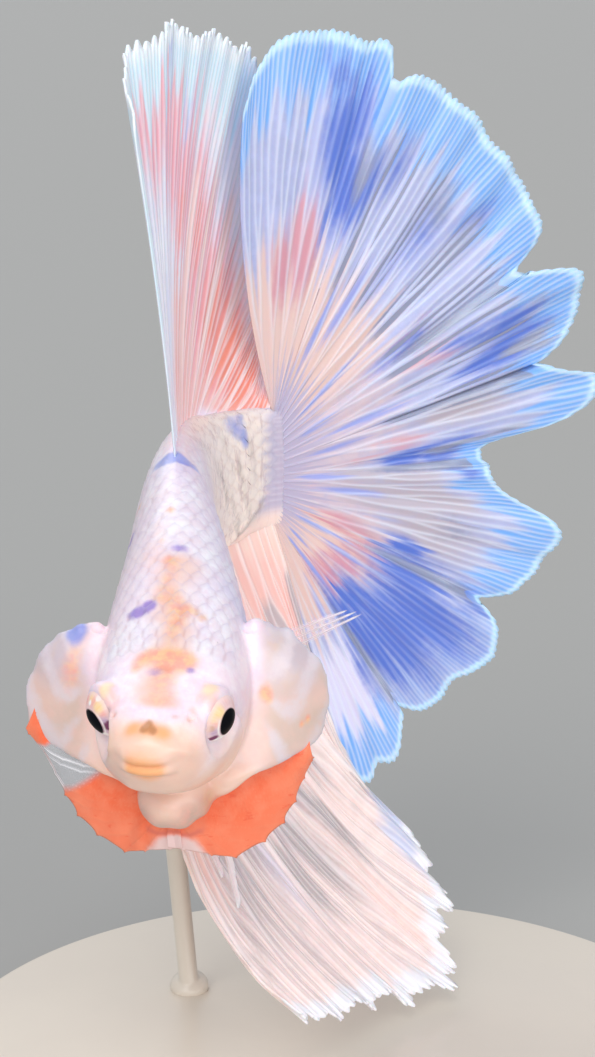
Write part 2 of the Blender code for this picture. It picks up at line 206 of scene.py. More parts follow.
# The throat's station, middle across and up, half width and half depth. Its front closes over THROAT_ROUND.
THROAT = [
    (3.0, 0.0, -5.0, 0.9, 0.9),
    (3.9, 0.0, -5.4, 1.8, 1.5),
    (5.0, 0.15, -5.4, 2.3, 2.0),
    (6.5, 0.3, -5.4, 2.6, 2.2),
    (8.5, 0.3, -5.6, 2.4, 1.8),
    (10.5, 0.2, -6.0, 1.4, 1.0),
]
THROAT_ROUND = 1.2
# The gill covers: (station, out from the middle, up) down the hinge and down the free edge.
COVER_HINGE = [
    (12.0, 4.6, 2.8),
    (11.0, 5.0, 1.6),
    (10.2, 5.1, 0.2),
    (9.4, 5.0, -1.2),
    (8.6, 4.8, -2.4),
    (7.6, 4.4, -3.5),
    (6.8, 3.6, -4.1),
    (6.3, 2.6, -4.4),
    (6.2, 1.6, -4.6),
]
COVER_EDGE = [
    (13.2, 5.6, 2.8),
    (12.7, 7.6, 2.1),
    (12.1, 9.2, 0.4),
    (11.7, 9.8, -1.8),
    (10.6, 9.4, -4.2),
    (9.0, 7.2, -4.5),
    (7.6, 5.3, -4.4),
    (6.9, 3.9, -5.3),
    (6.8, 2.6, -6.5),
]
COVER_BULGE = (-0.5, 0.3, 0)
# Half a cover's thickness at its edge, and how much more it is at the hinge.
COVER_HALF, COVER_STOUT = 0.24, 0.28
# Lumps of skin along the covers' upper edges: (station, left, up, radius).
LUMPS = [
    (12.6, 5.2, 2.7, 0.75), (12.5, 6.2, 2.35, 0.55), (12.6, 7.1, 2.1, 0.65), (12.4, 8.2, 1.1, 0.42),
    (12.7, -5.2, 2.6, 0.55), (12.6, -6.15, 2.5, 0.58), (12.6, -7.45, 1.9, 0.5), (12.4, -8.5, 0.7, 0.35),
]
VOXEL = 0.151  # the clay's grain: fine enough for the lips, and it keeps the skin under 200,000 triangles


def cover_place(u, v, side):
    """(station, left, up) of a gill cover, u down its hinge and v out to its lumpy, uneven edge."""
    spot = ruled(COVER_HINGE, COVER_EDGE, u, v, COVER_BULGE)
    lumps = 0.14 * np.sin(21 * u + side) + 0.09 * np.sin(47 * u + 2 * side) + 0.05 * np.sin(83 * u)
    spot[..., 1] += lumps * v**4 * (1 - 0.7 * u)
    spot[..., 0] += 0.16 * np.sin(10 * u + 5 * v) * v + 0.10 * np.sin(23 * u + 2) * v**2
    if side < 0:
        spot[..., 1:] *= 1 - 0.12 * ease((u - 0.75) / 0.2)[..., None]
    return spot[..., 0], side * spot[..., 1], spot[..., 2]


def ball(station, left, up, radius, sides=24):
    """(points, faces) of a ball: rings about the upward axis."""
    turn, around = np.meshgrid(np.linspace(0.02, math.pi - 0.02, sides), spin(sides), indexing="ij")
    step = radius * np.stack([np.sin(turn) * np.cos(around), np.sin(turn) * np.sin(around), np.cos(turn)], -1)
    return tube(place(station, left, up) + step)


# Each eye's centre (station, left, up) and the way it looks: forward, out to its side and up.
EYES = {"left": ((4.8, 3.28, 1.85), (0.40, 0.91, -0.06)), "right": ((4.8, 3.28, 1.85), (0.68, 0.73, -0.02))}
EYE_ACROSS, EYE_ALONG = 1.72, 1.34
# The eye socket's rim, turned about the way the eye looks: (distance along it, radius).
ORBIT = [
    (-1.7, 0.1), (-1.6, 1.2), (-0.9, 1.75), (0.0, 1.93), (0.34, 1.90), (0.52, 1.77), (0.62, 1.55),
    (0.85, 1.15), (1.05, 0.1),
]


def eye_frame(name):
    """The centre of an eye and its unit directions: the way it looks, up, and across, as world vectors."""
    (station, out, up), look = EYES[name]
    side = 1 if name == "left" else -1
    centre = place(station, side * out, up)
    gaze = -look[0] * along(4, station) + side * look[1] * along(2, station) + look[2] * along(3, station)
    gaze /= np.linalg.norm(gaze)
    above = along(3, station) - gaze * (along(3, station) @ gaze)
    above /= np.linalg.norm(above)
    return centre, gaze, above, np.cross(gaze, above)


def orbit(name):
    """(points, faces) of an eye socket: ORBIT turned about the way the eye looks."""
    centre, gaze, above, across = eye_frame(name)
    around = spin(60)[None, :, None]
    out, wide = np.array(ORBIT).T[:, :, None, None]
    return tube(centre + out * gaze + wide * (np.cos(around) * above + np.sin(around) * across))


def flesh():
    """The closed shapes that the flesh is made of, each (points, faces): the body and the throat lofted over
    station and angle, the gill covers as thick leaves, the lumps as balls and the eye sockets turned."""
    station, angle = np.meshgrid(STALK_EDGE * np.linspace(0.012, 1, 170) ** 1.5, spin(120), indexing="ij")
    shapes = [tube(place(*skin_place(station, angle)))]
    first, last = THROAT[0][0], THROAT[-1][0]
    steps = first + (last - first) * np.linspace(0.02, 1, 40) ** 2
    station, angle = np.meshgrid(steps, spin(40), indexing="ij")
    size = through(THROAT, station)
    size[..., 2:] *= np.sqrt(1 - np.clip(1 - (station - first) / THROAT_ROUND, 0, 1) ** 2)[..., None]
    left, up = size[..., 0] + size[..., 2] * np.cos(angle), size[..., 1] + size[..., 3] * np.sin(angle)
    shapes.append(tube(place(station, left, up)))
    u, v = np.meshgrid(np.linspace(0, 1, 100), np.linspace(-0.25, 1, 60), indexing="ij")
    for side in (1, -1):
        cover = place(*cover_place(u, v, side))[::side]
        shapes.append(leaf(cover, COVER_HALF + COVER_STOUT * (1 - v[::side]) ** 2))
    return shapes + [ball(*lump) for lump in LUMPS] + [orbit(name) for name in EYES]


def fused(shapes, voxel):
    """Points, faces and normals of one surface round overlapping closed shapes: a voxel remesh, relaxed."""
    mesh = bpy.data.meshes.new("clay")
    counts = np.cumsum([0] + [len(points) for points, _ in shapes])
    faces = [[i + first for i in face] for first, (_, part) in zip(counts, shapes) for face in part]
    mesh.from_pydata(np.concatenate([points for points, _ in shapes]), [], faces)
    clay = bpy.data.objects.new("clay", mesh)
    bpy.context.scene.collection.objects.link(clay)
    remesh = clay.modifiers.new("remesh", "REMESH")
    remesh.mode = "VOXEL"
    remesh.voxel_size = voxel
    relax = clay.modifiers.new("relax", "SMOOTH")
    relax.factor = 0.5
    relax.iterations = 7
    made = bpy.data.meshes.new_from_object(clay.evaluated_get(bpy.context.evaluated_depsgraph_get()))
    points = np.empty(len(made.vertices) * 3)
    made.vertices.foreach_get("co", points)
    normals = np.empty(len(made.vertices) * 3)
    made.vertex_normals.foreach_get("vector", normals)
    corners = np.empty(len(made.loops), int)
    made.loops.foreach_get("vertex_index", corners)
    bpy.data.objects.remove(clay)
    bpy.data.meshes.remove(made)
    return points.reshape(-1, 3), corners.reshape(-1, 4), normals.reshape(-1, 3)


# The gape's height and half width, and the nostril's (station, out from the middle, up).
GAPE_UP, GAPE_HALF = 1.2, 1.45
NOSTRIL = (2.75, 2.45, 3.05)
# Creases pressed into the flank inside the bend: (station, up, half height, lean, depth).
CREASES = [
    (38.6, -0.3, 2.7, 0.46, 1.3), (41.5, 0.1, 1.6, 0.34, 1.2), (42.75, 1.9, 1.1, 0.4, 1.0),
    (35.3, 3.7, 0.9, 1.6, 0.9), (40.6, -2.6, 2.2, 0.5, 0.8), (42.2, -2.4, 1.6, 0.4, 0.8),
    (43.3, 0.0, 1.8, 0.1, 0.5), (37.0, 1.8, 1.9, 0.4, 0.5), (40.0, 1.6, 1.9, 0.5, 0.5),
    (41.2, -4.4, 1.2, 0.7, 0.9), (34.0, 4.6, 0.9, 0.9, 0.6), (39.5, 3.4, 1.2, 0.6, 0.4),
]


# The tail fin's rays, and half the height of their root.
TAIL_RAYS, TAIL_ROOT_HALF = 26, 4.3


def gape_height(left, up):
    """Height above the line where the lips meet, which droops away from the middle."""
    return up - GAPE_UP + 0.02 * left**2


def nostril_distance(station, left, up):
    """Distance from the middle of the nostril on the same side."""
    return np.sqrt((station - NOSTRIL[0]) ** 2 + (np.abs(left) - NOSTRIL[1]) ** 2 + (up - NOSTRIL[2]) ** 2)


def root_line(up):
    """The station where the flank's skin gives way to the tail fin's rays, by height."""
    return np.interp(up, [-6.8, -6.3, -4.5, -3.0, -1.9, 3.0, 5.0], [39.6, 39.9, 42.2, 44.0, 44.5, 44.6, 45.2])


def root_rays(up):
    """1 on the tail rays where they leave the flank, by height."""
    turn = (90 - np.degrees(np.arcsin(np.clip(up / TAIL_ROOT_HALF, -1, 1)))) / 180
    return hump(np.abs(turn * TAIL_RAYS % 1 - 0.5), 0.16)


def creased(station, left, up, width):
    """The creases' depth at a place: each a bell across its line, which leans and fades towards its ends."""
    total = 1.1 * hump(station - root_line(up), 1.4 * width) * ease((-1.6 - up) / 1.5) * (station < 45)
    for at, middle, half, lean, depth in CREASES:
        line = at + lean * (middle - up) + 0.12 * np.sin(2.1 * up + 3 * at)
        fade = ease((half - np.abs(up - middle)) / (0.6 * half))
        total = total + depth * hump(station - line, width) * fade
    return total * ease((left - 0.1) / 0.6)


def relief(station, left, up):
    """How far, in millimetres, the skin stands off its plain loft: humps and grooves placed on the fish."""
    side = np.abs(left)
    front = ease((2.6 - station) / 0.8)
    gape = gape_height(left, up)
    width = ease((GAPE_HALF + 0.7 - side) / 0.9)
    # The lips' two rolls, the gape between them and the dip below the lower lip.
    out = front * width * (0.16 * hump(gape - 0.55, 0.45) + 0.16 * hump(gape + 0.42, 0.34))
    out -= front * ease((GAPE_HALF + 0.1 - side) / 0.6) * 0.14 * hump(gape, 0.17)
    out -= front * width * 0.10 * hump(gape + 1.0, 0.25)
    # The upper jaw's ridge, the groove over it and the bump on the snout.
    arch = up - (2.55 - 0.17 * left**2)
    out += front * 0.15 * hump(arch, 0.35) * ease((3.1 - side) / 0.8)
    out -= ease((3.4 - station) / 0.8) * 0.14 * hump(arch - 0.75, 0.3) * ease((2.2 - side) / 0.8)
    out += 0.12 * hump(np.hypot(station - 1.5, left), 0.5) * (up > 2)
    # The nostrils, each a pit in a raised ring, and the chin.
    nose = nostril_distance(station, left, up)
    out += 0.16 * hump(nose, 0.5) - 0.34 * hump(nose, 0.2)
    chin = np.hypot(station - 1.6, up + 1.6)
    out += 0.14 * hump(chin, 1.0) * ease((2.6 - side) / 1.2)
    # The cheek's crease and the fold before it.
    crease = station - (6.9 - 0.16 * (up + 1.0) ** 2)
    out -= (
        0.16 * hump(crease, 0.22) * ease((side - 3.2) / 0.8)
        * ease((1.6 - up) / 0.8) * ease((up + 4.2) / 0.8)
    )
    out += 0.12 * hump(crease + 0.7, 0.6) * ease((side - 3.0) / 0.8) * ease((1.2 - up) / 0.8)
    # The flank's creases, the swelling before each, and the tail's rays where they leave the flesh.
    out -= 0.24 * creased(station, left, up, 0.18)
    out += 0.07 * creased(station + 0.45, left, up, 0.3)
    out += 0.03 * root_rays(up) * ease((station - root_line(up)) / 1.0) * ease((46.2 - station) / 0.8)
    # The muscle along the roots of the dorsal and anal fins, and the folds of the slack throat.
    fins = hump(left, 0.7) * (ease((station - 27.6) / 1.5) * ease((39.4 - station) / 1.5) * (up > 0))
    fins = fins + hump(left, 0.7) * (ease((station - 14.6) / 2) * ease((43.5 - station) / 1.5) * (up < 0))
    folds = np.sin(3.4 * left + 1.6 * np.sin(1.3 * station + up)) * ease((-4.3 - up) / 0.8)
    return out + 0.22 * fins + 0.06 * folds * ease((10 - station) / 2)


# Round each eye: the rim's radius, how far out along the eye's sight the skin may stand there, how deep it
# lies under the eyeball, and the radius past which it is left alone.
RIM_RADIUS, RIM_OUT, EYE_BED, EYE_REACH = 1.5, 0.62, 0.06, 2.9


def socketed(points):
    """The skin drawn in under each eyeball and off its sight, along the way the eye looks: within the rim it
    is kept below the ball, and outside it below a cone that opens from the rim."""
    for name in EYES:
        centre, gaze, _, _ = eye_frame(name)
        off = points - centre
        height = off @ gaze
        reach = np.linalg.norm(off - height[:, None] * gaze, axis=1)
        hollow = EYE_ALONG * np.sqrt(np.clip(1 - (reach / EYE_ACROSS) ** 2, 0, 1)) - EYE_BED
        cone = RIM_OUT + 0.25 * (reach - RIM_RADIUS) + 0.8 * np.clip(reach - 1.8, 0, None)
        over = np.clip(height - np.where(reach < RIM_RADIUS, hollow, cone), 0, None)
        points = points - ((height > -0.4) * (reach < EYE_REACH) * over)[:, None] * gaze
    return points


points, skin_faces, normals = fused(flesh(), VOXEL)
skin_at = fish_place(points)
points += normals * relief(*skin_at)[:, None]
skin_points = socketed(points)

# Markings, painted on skin and scales alike: (station, left, up, reach along, reach across, strength).
SPOTS = {
    "orange": [
        (7.4, 0.1, 4.6, 0.6, 1.3, 1.0), (7.1, -1.3, 4.5, 0.55, 0.6, 0.9), (6.9, 1.6, 4.4, 0.6, 0.6, 0.8),
        (6.4, -1.7, 4.2, 0.5, 0.4, 0.7), (6.4, 0.4, 4.3, 0.6, 0.9, 0.8), (5.6, 0.3, 4.2, 0.6, 0.7, 0.45),
        (9.0, 0.1, 4.9, 0.9, 0.5, 0.6), (10.2, 0.2, 5.1, 0.9, 0.6, 0.65), (11.3, 0.7, 5.3, 0.6, 0.9, 0.9),
        (10.7, 1.9, 5.0, 0.3, 0.3, 0.85), (12.8, -0.8, 5.5, 1.0, 0.8, 0.6),
        (12.2, -0.2, 5.4, 0.7, 0.7, 0.6), (16.0, -0.4, 5.9, 0.55, 0.5, 0.9),
        (14.4, -0.4, 5.7, 0.9, 0.7, 0.5), (21.6, -0.5, 6.2, 0.45, 0.32, 0.8),
        (4.6, 0.3, 3.9, 0.8, 1.0, 0.55), (3.5, 0.45, 3.7, 0.6, 1.1, 0.55), (18.2, -1.0, 6.0, 0.4, 0.3, 0.5),
        (26.0, -2.6, 3.4, 0.5, 0.5, 0.7), (18.5, -4.2, 1.5, 0.6, 0.6, 0.7),
        (31.0, -2.5, -1.5, 0.5, 0.5, 0.6), (24.0, 3.2, 2.6, 0.4, 0.4, 0.4),
        (12.0, -5.9, 1.6, 0.8, 0.8, 0.6), (9.6, 5.9, -0.1, 0.45, 0.4, 1.0),
        (9.8, 6.1, -0.6, 0.4, 0.25, 0.9), (10.0, 8.6, -2.5, 0.5, 0.2, 0.8),
        (9.7, 8.2, -2.65, 0.5, 0.16, 0.8), (10.3, -6.8, 0.8, 0.9, 0.8, 0.65),
        (5.0, 2.5, -5.2, 1.4, 0.7, 0.6), (5.0, -2.4, -5.3, 1.4, 0.7, 0.6), (11.6, -6.3, 1.6, 0.9, 0.6, 0.4),
    ],
    "amber": [
        (1.6, -0.95, 3.0, 0.5, 0.55, 0.9), (1.5, 0.95, 2.85, 0.5, 0.6, 0.8), (1.6, 0.0, 3.1, 0.5, 0.5, 0.8),
        (0.2, -0.85, 1.0, 0.9, 0.45, 0.85), (0.2, -0.1, 0.9, 0.9, 0.55, 1.0),
        (0.2, 0.7, 1.0, 0.9, 0.45, 0.85), (0.1, 0.0, 1.8, 0.6, 1.2, 0.12),
    ],
    "rose": [
        (4.6, 3.2, 3.75, 0.9, 0.7, 0.8), (4.6, -3.2, 3.75, 0.9, 0.7, 0.8), (3.4, 2.4, 2.9, 0.5, 0.4, 0.6),
        (3.4, -2.4, 2.9, 0.5, 0.4, 0.7), (3.9, -2.9, 3.3, 0.5, 0.35, 0.9), (4.0, 3.8, 3.3, 0.5, 0.3, 0.8),
        (16.8, -1.6, 5.3, 1.8, 1.0, 0.6), (15.0, -0.8, 5.6, 1.2, 0.8, 0.4), (19.5, -1.2, 5.8, 1.5, 0.8, 0.35),
    ],
    "lemon": [(4.6, -3.3, 3.5, 0.7, 0.4, 0.9), (5.1, 3.3, 3.6, 0.8, 0.5, 0.95)],
    "plum": [
        (3.2, -2.6, 2.3, 0.7, 0.36, 1.0), (3.3, -2.85, 2.8, 0.5, 0.3, 0.6), (3.5, 3.0, 2.9, 0.5, 0.3, 0.45),
    ],
    "brown": [
        (1.8, 0.0, 3.15, 0.4, 0.3, 1.0), (1.45, 0.4, 2.95, 0.3, 0.3, 0.9),
        (1.5, -0.25, 3.0, 0.28, 0.24, 0.8), (2.6, 1.5, 3.2, 0.2, 0.35, 0.5),
        (6.1, 0.0, 4.3, 0.5, 0.9, 0.42),
    ],
    "violet": [
        (11.35, -2.35, 5.0, 0.55, 0.62, 1.0), (11.75, -1.6, 5.2, 0.5, 0.45, 1.0),
        (5.9, -0.4, 4.2, 0.45, 0.8, 0.5), (6.3, 1.85, 4.2, 0.35, 0.35, 0.6),
        (17.2, 0.1, 6.0, 0.5, 0.8, 0.62), (27.9, 0.9, 6.0, 0.4, 0.9, 0.6), (22.5, -3.2, 2.8, 0.7, 0.6, 0.9),
        (27.0, -3.0, -1.0, 0.6, 0.8, 0.85), (15.5, -4.4, 1.0, 0.5, 0.7, 0.8),
        (34.0, -2.2, 2.6, 0.9, 0.7, 0.8), (3.1, -2.35, 2.9, 0.35, 0.3, 0.5),
    ],
    "blue": [
        (28.5, -0.3, 6.0, 0.7, 1.3, 1.0), (28.2, 1.0, 5.8, 0.4, 0.8, 0.9), (40.6, 1.5, 4.8, 0.9, 0.7, 1.0),
        (41.5, 1.5, 4.0, 0.8, 0.7, 1.0), (42.3, 1.4, 3.0, 0.5, 0.6, 1.0), (42.4, 0.9, 4.6, 0.5, 0.5, 0.8),
        (38.5, -1.8, 2.2, 1.2, 0.8, 0.8), (42.0, -1.5, -1.5, 1.2, 1.0, 0.7),
        (12.2, -6.4, 2.9, 1.0, 0.75, 1.0), (12.8, 7.4, 2.9, 0.6, 0.9, 0.35),
    ],
    "ink": [
        (21.5, 0.65, 6.2, 0.10, 0.10, 0.8), (20.3, 0.55, 6.2, 0.10, 0.10, 0.8),
        (14.0, -0.5, 5.7, 0.10, 0.10, 0.7), (9.2, 3.05, 4.3, 0.12, 0.12, 0.7),
        (19.2, 0.6, 6.1, 0.08, 0.08, 0.5), (17.6, 3.3, 4.2, 0.09, 0.09, 0.5),
        (23.4, -1.5, 5.8, 0.09, 0.09, 0.6), (13.2, 2.4, 4.9, 0.09, 0.09, 0.5),
        (25.2, 1.2, 6.0, 0.1, 0.1, 0.5),
    ],
}


def margin_distance(station, left, up):
    """Distance from the nearest point of the gill covers' free edges."""
    u = np.linspace(0, 1, 240)
    edges = np.concatenate([place(*cover_place(u, 1 + 0 * u, side)) for side in (1, -1)])
    here = place(station, left, up)
    nearest = np.full(station.shape, 9.0)
    for spot in edges:
        nearest = np.minimum(nearest, np.linalg.norm(here - spot, axis=-1))
    return nearest


def markings(station, left, up):
    """Masks from 0 to 1 on the skin: each colour's spots added as bells, and the others by their place:
    products of smooth steps and bells along the body, out from its middle and up."""
    masks = {}
    for colour, spots in SPOTS.items():
        total = 0 * station
        for at, out, high, reach, wide, strength in spots:
            far = ((station - at) / reach) ** 2 + ((left - out) / wide) ** 2
            far = far + ((up - high) / (1.6 * wide)) ** 2
            total = 1 - (1 - total) * (1 - strength * np.exp(-0.7 * far))
        masks[colour] = total
    side = np.abs(left)
    # The cream snout, chin and chest, the warm crown, the pale inside of the bend, the throat and the blush.
    low = ease((1.4 - up) / 3.0)
    snout = ease((3.4 - station) / 2.0) * ease((3.6 - up) / 0.8)
    chin, chest = low * ease((9 - station) / 3), 0.7 * low * ease((16 - station) / 5)
    masks["cream"] = np.maximum(np.maximum(snout, chin), chest)
    middle = 0.35 * np.sin(station * 0.9)
    masks["warm"] = hump(left - middle, 1.9) * (up > 0) * ease((station - 2.5) / 1) * ease((19 - station) / 4)
    masks["hollow"] = ease((station - 31) / 6) * ease((left + 0.6) / 1.2)
    masks["throat"] = ease((-4.2 - up) / 1.4) * ease((station - 3.0) / 0.8)
    masks["throat"] = masks["throat"] * ease((11 - station) / 2) * ease((3.2 - side) / 0.8)
    masks["blush"] = ease((-0.5 - left) / 3.0) * ease((station - 9) / 4)
    masks["blush"] = masks["blush"] + 0.5 * ease((left - 2.0) / 2.5) * ease((13 - station) / 3) * (up > 0.5)
    # The gill covers: grey beyond the body's side, streaked as a fan, with a margin.
    body = through(SECTIONS, np.clip(station, 0, BODY_LENGTH))[..., 0]
    masks["flap"] = ease((side - body) / 1.6) * ease((15 - station) / 1.0)
    masks["margin"] = masks["flap"] * hump(margin_distance(station, left, up), 0.34)
    fan = np.arctan2(up + 0.5, side - 3.5)
    streaks = np.sin(9 * fan + 2.5 * np.sin(1.1 * side + fan) + np.sign(left))
    masks["streak"] = masks["flap"] * (0.5 + 0.5 * streaks)
    # The tail's root, with the rays that run into it, and the skin that hangs over its lowest rays.
    past = station - root_line(up) + 0.22 * np.sin(7 * up) + 0.16 * np.sin(17 * up + 1)
    masks["root"] = ease((past + 0.7) / 1.3) * ease((up + 4.4) / 1.5)
    masks["skirt"] = ease((past + 0.2) / 0.6) * (1 - ease((up + 4.4) / 1.5))
    masks["ray"] = 0.35 * root_rays(up) * ease((past - 0.2) / 0.8)
    # Dark lines painted along the flank's creases and the tail fin's root line: painted shade.
    masks["crease"] = np.clip(0.62 * creased(station, left, up, 0.19), 0, 1)
    # A darker line painted into the gape and the nostril pits: painted shade.
    mouth = 0.7 * hump(gape_height(left, up), 0.12)
    mouth = mouth * ease((1.8 - station) / 0.6) * ease((GAPE_HALF - side) / 0.5)
    masks["gape_nostril_shade"] = np.maximum(mouth, 0.9 * hump(nostril_distance(station, left, up), 0.22))
    return masks


def feed(tree, socket, value):
    """Set a socket to a number, a vector or a colour, or link it to the socket that gives its value."""
    if isinstance(value, bpy.types.NodeSocket):
        tree.links.new(value, socket)
    else:
        socket.default_value = (*value, 1) if socket.type == "RGBA" else value


def node(tree, kind, settings=None, **inputs):
    """A shader node. An input is a number, a colour or the socket that feeds it, and _ stands for a space."""
    made = tree.nodes.new("ShaderNode" + kind)
    for key, value in (settings or {}).items():
        setattr(made, key, value)
    for key, value in inputs.items():
        feed(tree, made.inputs[key.replace("_", " ")], value)
    return made


def sums(tree, operation, *terms):
    """A Math node's result."""
    made = node(tree, "Math", {"operation": operation})
    for socket, value in zip(made.inputs, terms):
        feed(tree, socket, value)
    return made.outputs[0]


def blend(tree, share, under, over):
    """A colour, under, covered by another, over, by a share from 0 to 1."""
    made = node(tree, "Mix", {"data_type": "RGBA"})
    for index, value in ((0, share), (6, under), (7, over)):
        feed(tree, made.inputs[index], value)
    return made.outputs[2]


def layered(tree, colour, layers):
    """A colour under layers of (share from 0 to 1, the most of it that counts, colour), the last on top."""
    for share, most, tint in layers:
        cover = share if most == 1 else sums(tree, "MULTIPLY", share, most)
        colour = blend(tree, cover, colour, tint)
    return colour


def noise(tree, scale, detail=3.0, rough=0.55, stretch=None):
    """Noise on Object coordinates, scale in waves per metre. stretch squeezes it along x, y and z."""
    spot = tree.nodes.new("ShaderNodeTexCoord").outputs["Object"]
    if stretch:
        spot = node(tree, "Mapping", Vector=spot, Scale=stretch).outputs[0]
    return node(tree, "TexNoise", Vector=spot, Scale=scale, Detail=detail, Roughness=rough).outputs["Fac"]


def mask(tree, name):
    """A mask that the mesh carries, read by its name."""
    return node(tree, "Attribute", {"attribute_name": name}).outputs["Fac"]


def ragged(tree, amount, grain, low, high, swing=0.5):
    """A mask with a broken edge: grain is added to it before it is cut between low and high."""
    shaken = sums(tree, "ADD", amount, sums(tree, "MULTIPLY", sums(tree, "SUBTRACT", grain, 0.5), swing))
    settings = {"interpolation_type": "SMOOTHSTEP"}
    return node(tree, "MapRange", settings, Value=shaken, From_Min=low, From_Max=high).outputs[0]


def new_material(name, **sockets):
    """A material and its node tree and shader, with the shader's own numbers set by name."""
    material = bpy.data.materials.new(name)
    material.use_nodes = True
    shader = material.node_tree.nodes["Principled BSDF"]
    for key, value in sockets.items():
        shader.inputs[key.replace("_", " ")].default_value = value
    return material, material.node_tree, shader


def bumped(tree, shader, height, distance, strength=0.5):
    """Relief in the shader's normal: height from 0 to 1, over a distance in metres."""
    made = node(tree, "Bump", Height=height, Distance=distance, Strength=strength)
    tree.links.new(made.outputs[0], shader.inputs["Normal"])


SKIN_COLOURS = {
    "pearl": (0.85, 0.68, 0.80),
    "light_pearl": (0.98, 0.90, 0.94),
    "lilac": (0.74, 0.62, 0.84),
    "shell": (0.95, 0.74, 0.76),
    "cream": (0.90, 0.58, 0.43),
    "blush": (0.86, 0.60, 0.68),
    "flap": (0.52, 0.45, 0.49),
    "margin": (0.58, 0.60, 0.74),
    "streak": (0.74, 0.67, 0.73),
    "stain": (0.68, 0.52, 0.45),
    "warm": (0.92, 0.58, 0.50),
    "orange": (0.94, 0.50, 0.24),
    "red_orange": (0.92, 0.33, 0.22),
    "rose": (0.90, 0.52, 0.48),
    "lemon": (0.98, 0.74, 0.46),
    "plum": (0.26, 0.10, 0.18),
    "amber": (0.97, 0.42, 0.15),
    "brown": (0.46, 0.19, 0.07),
    "violet": (0.30, 0.20, 0.58),
    "blue": (0.20, 0.28, 0.72),
    "ink": (0.06, 0.05, 0.08),
    "root": (0.47, 0.43, 0.60),
    "skirt": (0.95, 0.70, 0.64),
    "ray": (0.86, 0.86, 0.94),
    # Painted shade for the gape and the nostril pits.
    "gape_nostril_shade": (0.80, 0.36, 0.18),
    # Painted shade for the flank's creases.
    "crease": (0.24, 0.18, 0.17),
    "throat": (0.78, 0.38, 0.31),
    "sallow": (0.52, 0.43, 0.36),
    "hollow": (1.0, 0.82, 0.73),
    "hatch": (0.66, 0.47, 0.45),
    "rim": (0.62, 0.50, 0.70),
}


def skin_material(name, rimmed=False):
    """Pearl skin: a mottled ground under cream, blush and the broken-edged spots, softly lit from within.
    Scales are rimmed as well: a lilac line along the free edge."""
    material, tree, shader = new_material(
        name, Roughness=0.38, Coat_Weight=0.35, Coat_Roughness=0.18,
        Subsurface_Weight=0.25, Subsurface_Scale=0.0012, Subsurface_Radius=(1.0, 0.45, 0.3),
    )
    coarse, fine, dapple = noise(tree, 560, 5, 0.65), noise(tree, 1500, 3), noise(tree, 260, 3)
    hatch = noise(tree, 2200, 4, 0.7, (1.0, 1.0, 0.12))
    lines = sums(tree, "MULTIPLY", ragged(tree, hatch, hatch, 0.52, 0.64, 0.1), 0.6)
    flap, throat, hollow = mask(tree, "flap"), mask(tree, "throat"), mask(tree, "hollow")
    warm = sums(tree, "MULTIPLY", mask(tree, "warm"), 0.7)
    layers = [
        ("lilac", 0.4, ragged(tree, dapple, coarse, 0.54, 0.68, 0.6)),
        ("shell", 0.4, ragged(tree, dapple, coarse, 0.50, 0.38, 0.6)),
        ("blush", 0.5, mask(tree, "blush")),
        ("flap", 0.8, flap),
        ("hollow", 0.95, hollow),
        ("cream", 0.85, mask(tree, "cream")),
        ("throat", 0.85, throat),
        ("sallow", 0.7, sums(tree, "MULTIPLY", throat, ragged(tree, coarse, dapple, 0.35, 0.6, 0.5))),
        ("hatch", 1, sums(tree, "MULTIPLY", hollow, lines)),
        ("stain", 1, sums(tree, "MULTIPLY", flap, ragged(tree, dapple, coarse, 0.45, 0.7, 0.5))),
        ("streak", 0.7, ragged(tree, mask(tree, "streak"), coarse, 0.2, 1.2, 2.0)),
        ("margin", 0.6, mask(tree, "margin")),
        ("warm", 1, ragged(tree, warm, dapple, 0.2, 0.9, 0.9)),
    ]
    for key, most, grain, low, high, swing in (
        ("rose", 0.8, fine, 0.15, 0.9, 0.7),
        ("lemon", 0.8, fine, 0.2, 0.9, 0.7),
        ("plum", 0.85, coarse, 0.3, 0.9, 0.6),
        ("orange", 0.85, coarse, 0.15, 0.95, 0.9),
        ("amber", 0.85, coarse, 0.1, 0.9, 0.5),
        ("brown", 0.8, fine, 0.2, 0.9, 0.5),
        ("violet", 0.92, coarse, 0.22, 0.75, 0.7),
        ("blue", 0.8, coarse, 0.3, 0.8, 0.7),
        ("ink", 0.8, fine, 0.3, 0.6, 0.2),
    ):
        layers.append((key, most, ragged(tree, mask(tree, key), grain, low, high, swing)))
    # The crease lines and the line in the gape and nostril pits among these are painted shade.
    for key, most in (("root", 0.85), ("skirt", 0.8), ("ray", 0.6), ("gape_nostril_shade", 0.5), ("crease", 0.7)):
        layers.append((key, most, mask(tree, key)))
    if rimmed:
        layers.append(("rim", 0.35, mask(tree, "rim")))
    tints = dict(SKIN_COLOURS)
    mottle = ragged(tree, fine, fine, 0.35, 0.65, 0.1)
    tints["orange"] = blend(tree, mottle, SKIN_COLOURS["orange"], SKIN_COLOURS["red_orange"])
    mottle = ragged(tree, coarse, fine, 0.3, 0.75, 0.4)
    colour = blend(tree, mottle, SKIN_COLOURS["pearl"], SKIN_COLOURS["light_pearl"])
    colour = layered(tree, colour, [(share, most, tints[key]) for key, most, share in layers])
    tree.links.new(colour, shader.inputs["Base Color"])
    bumped(tree, shader, noise(tree, 2600, 2), 0.00004, 0.35)
    return material


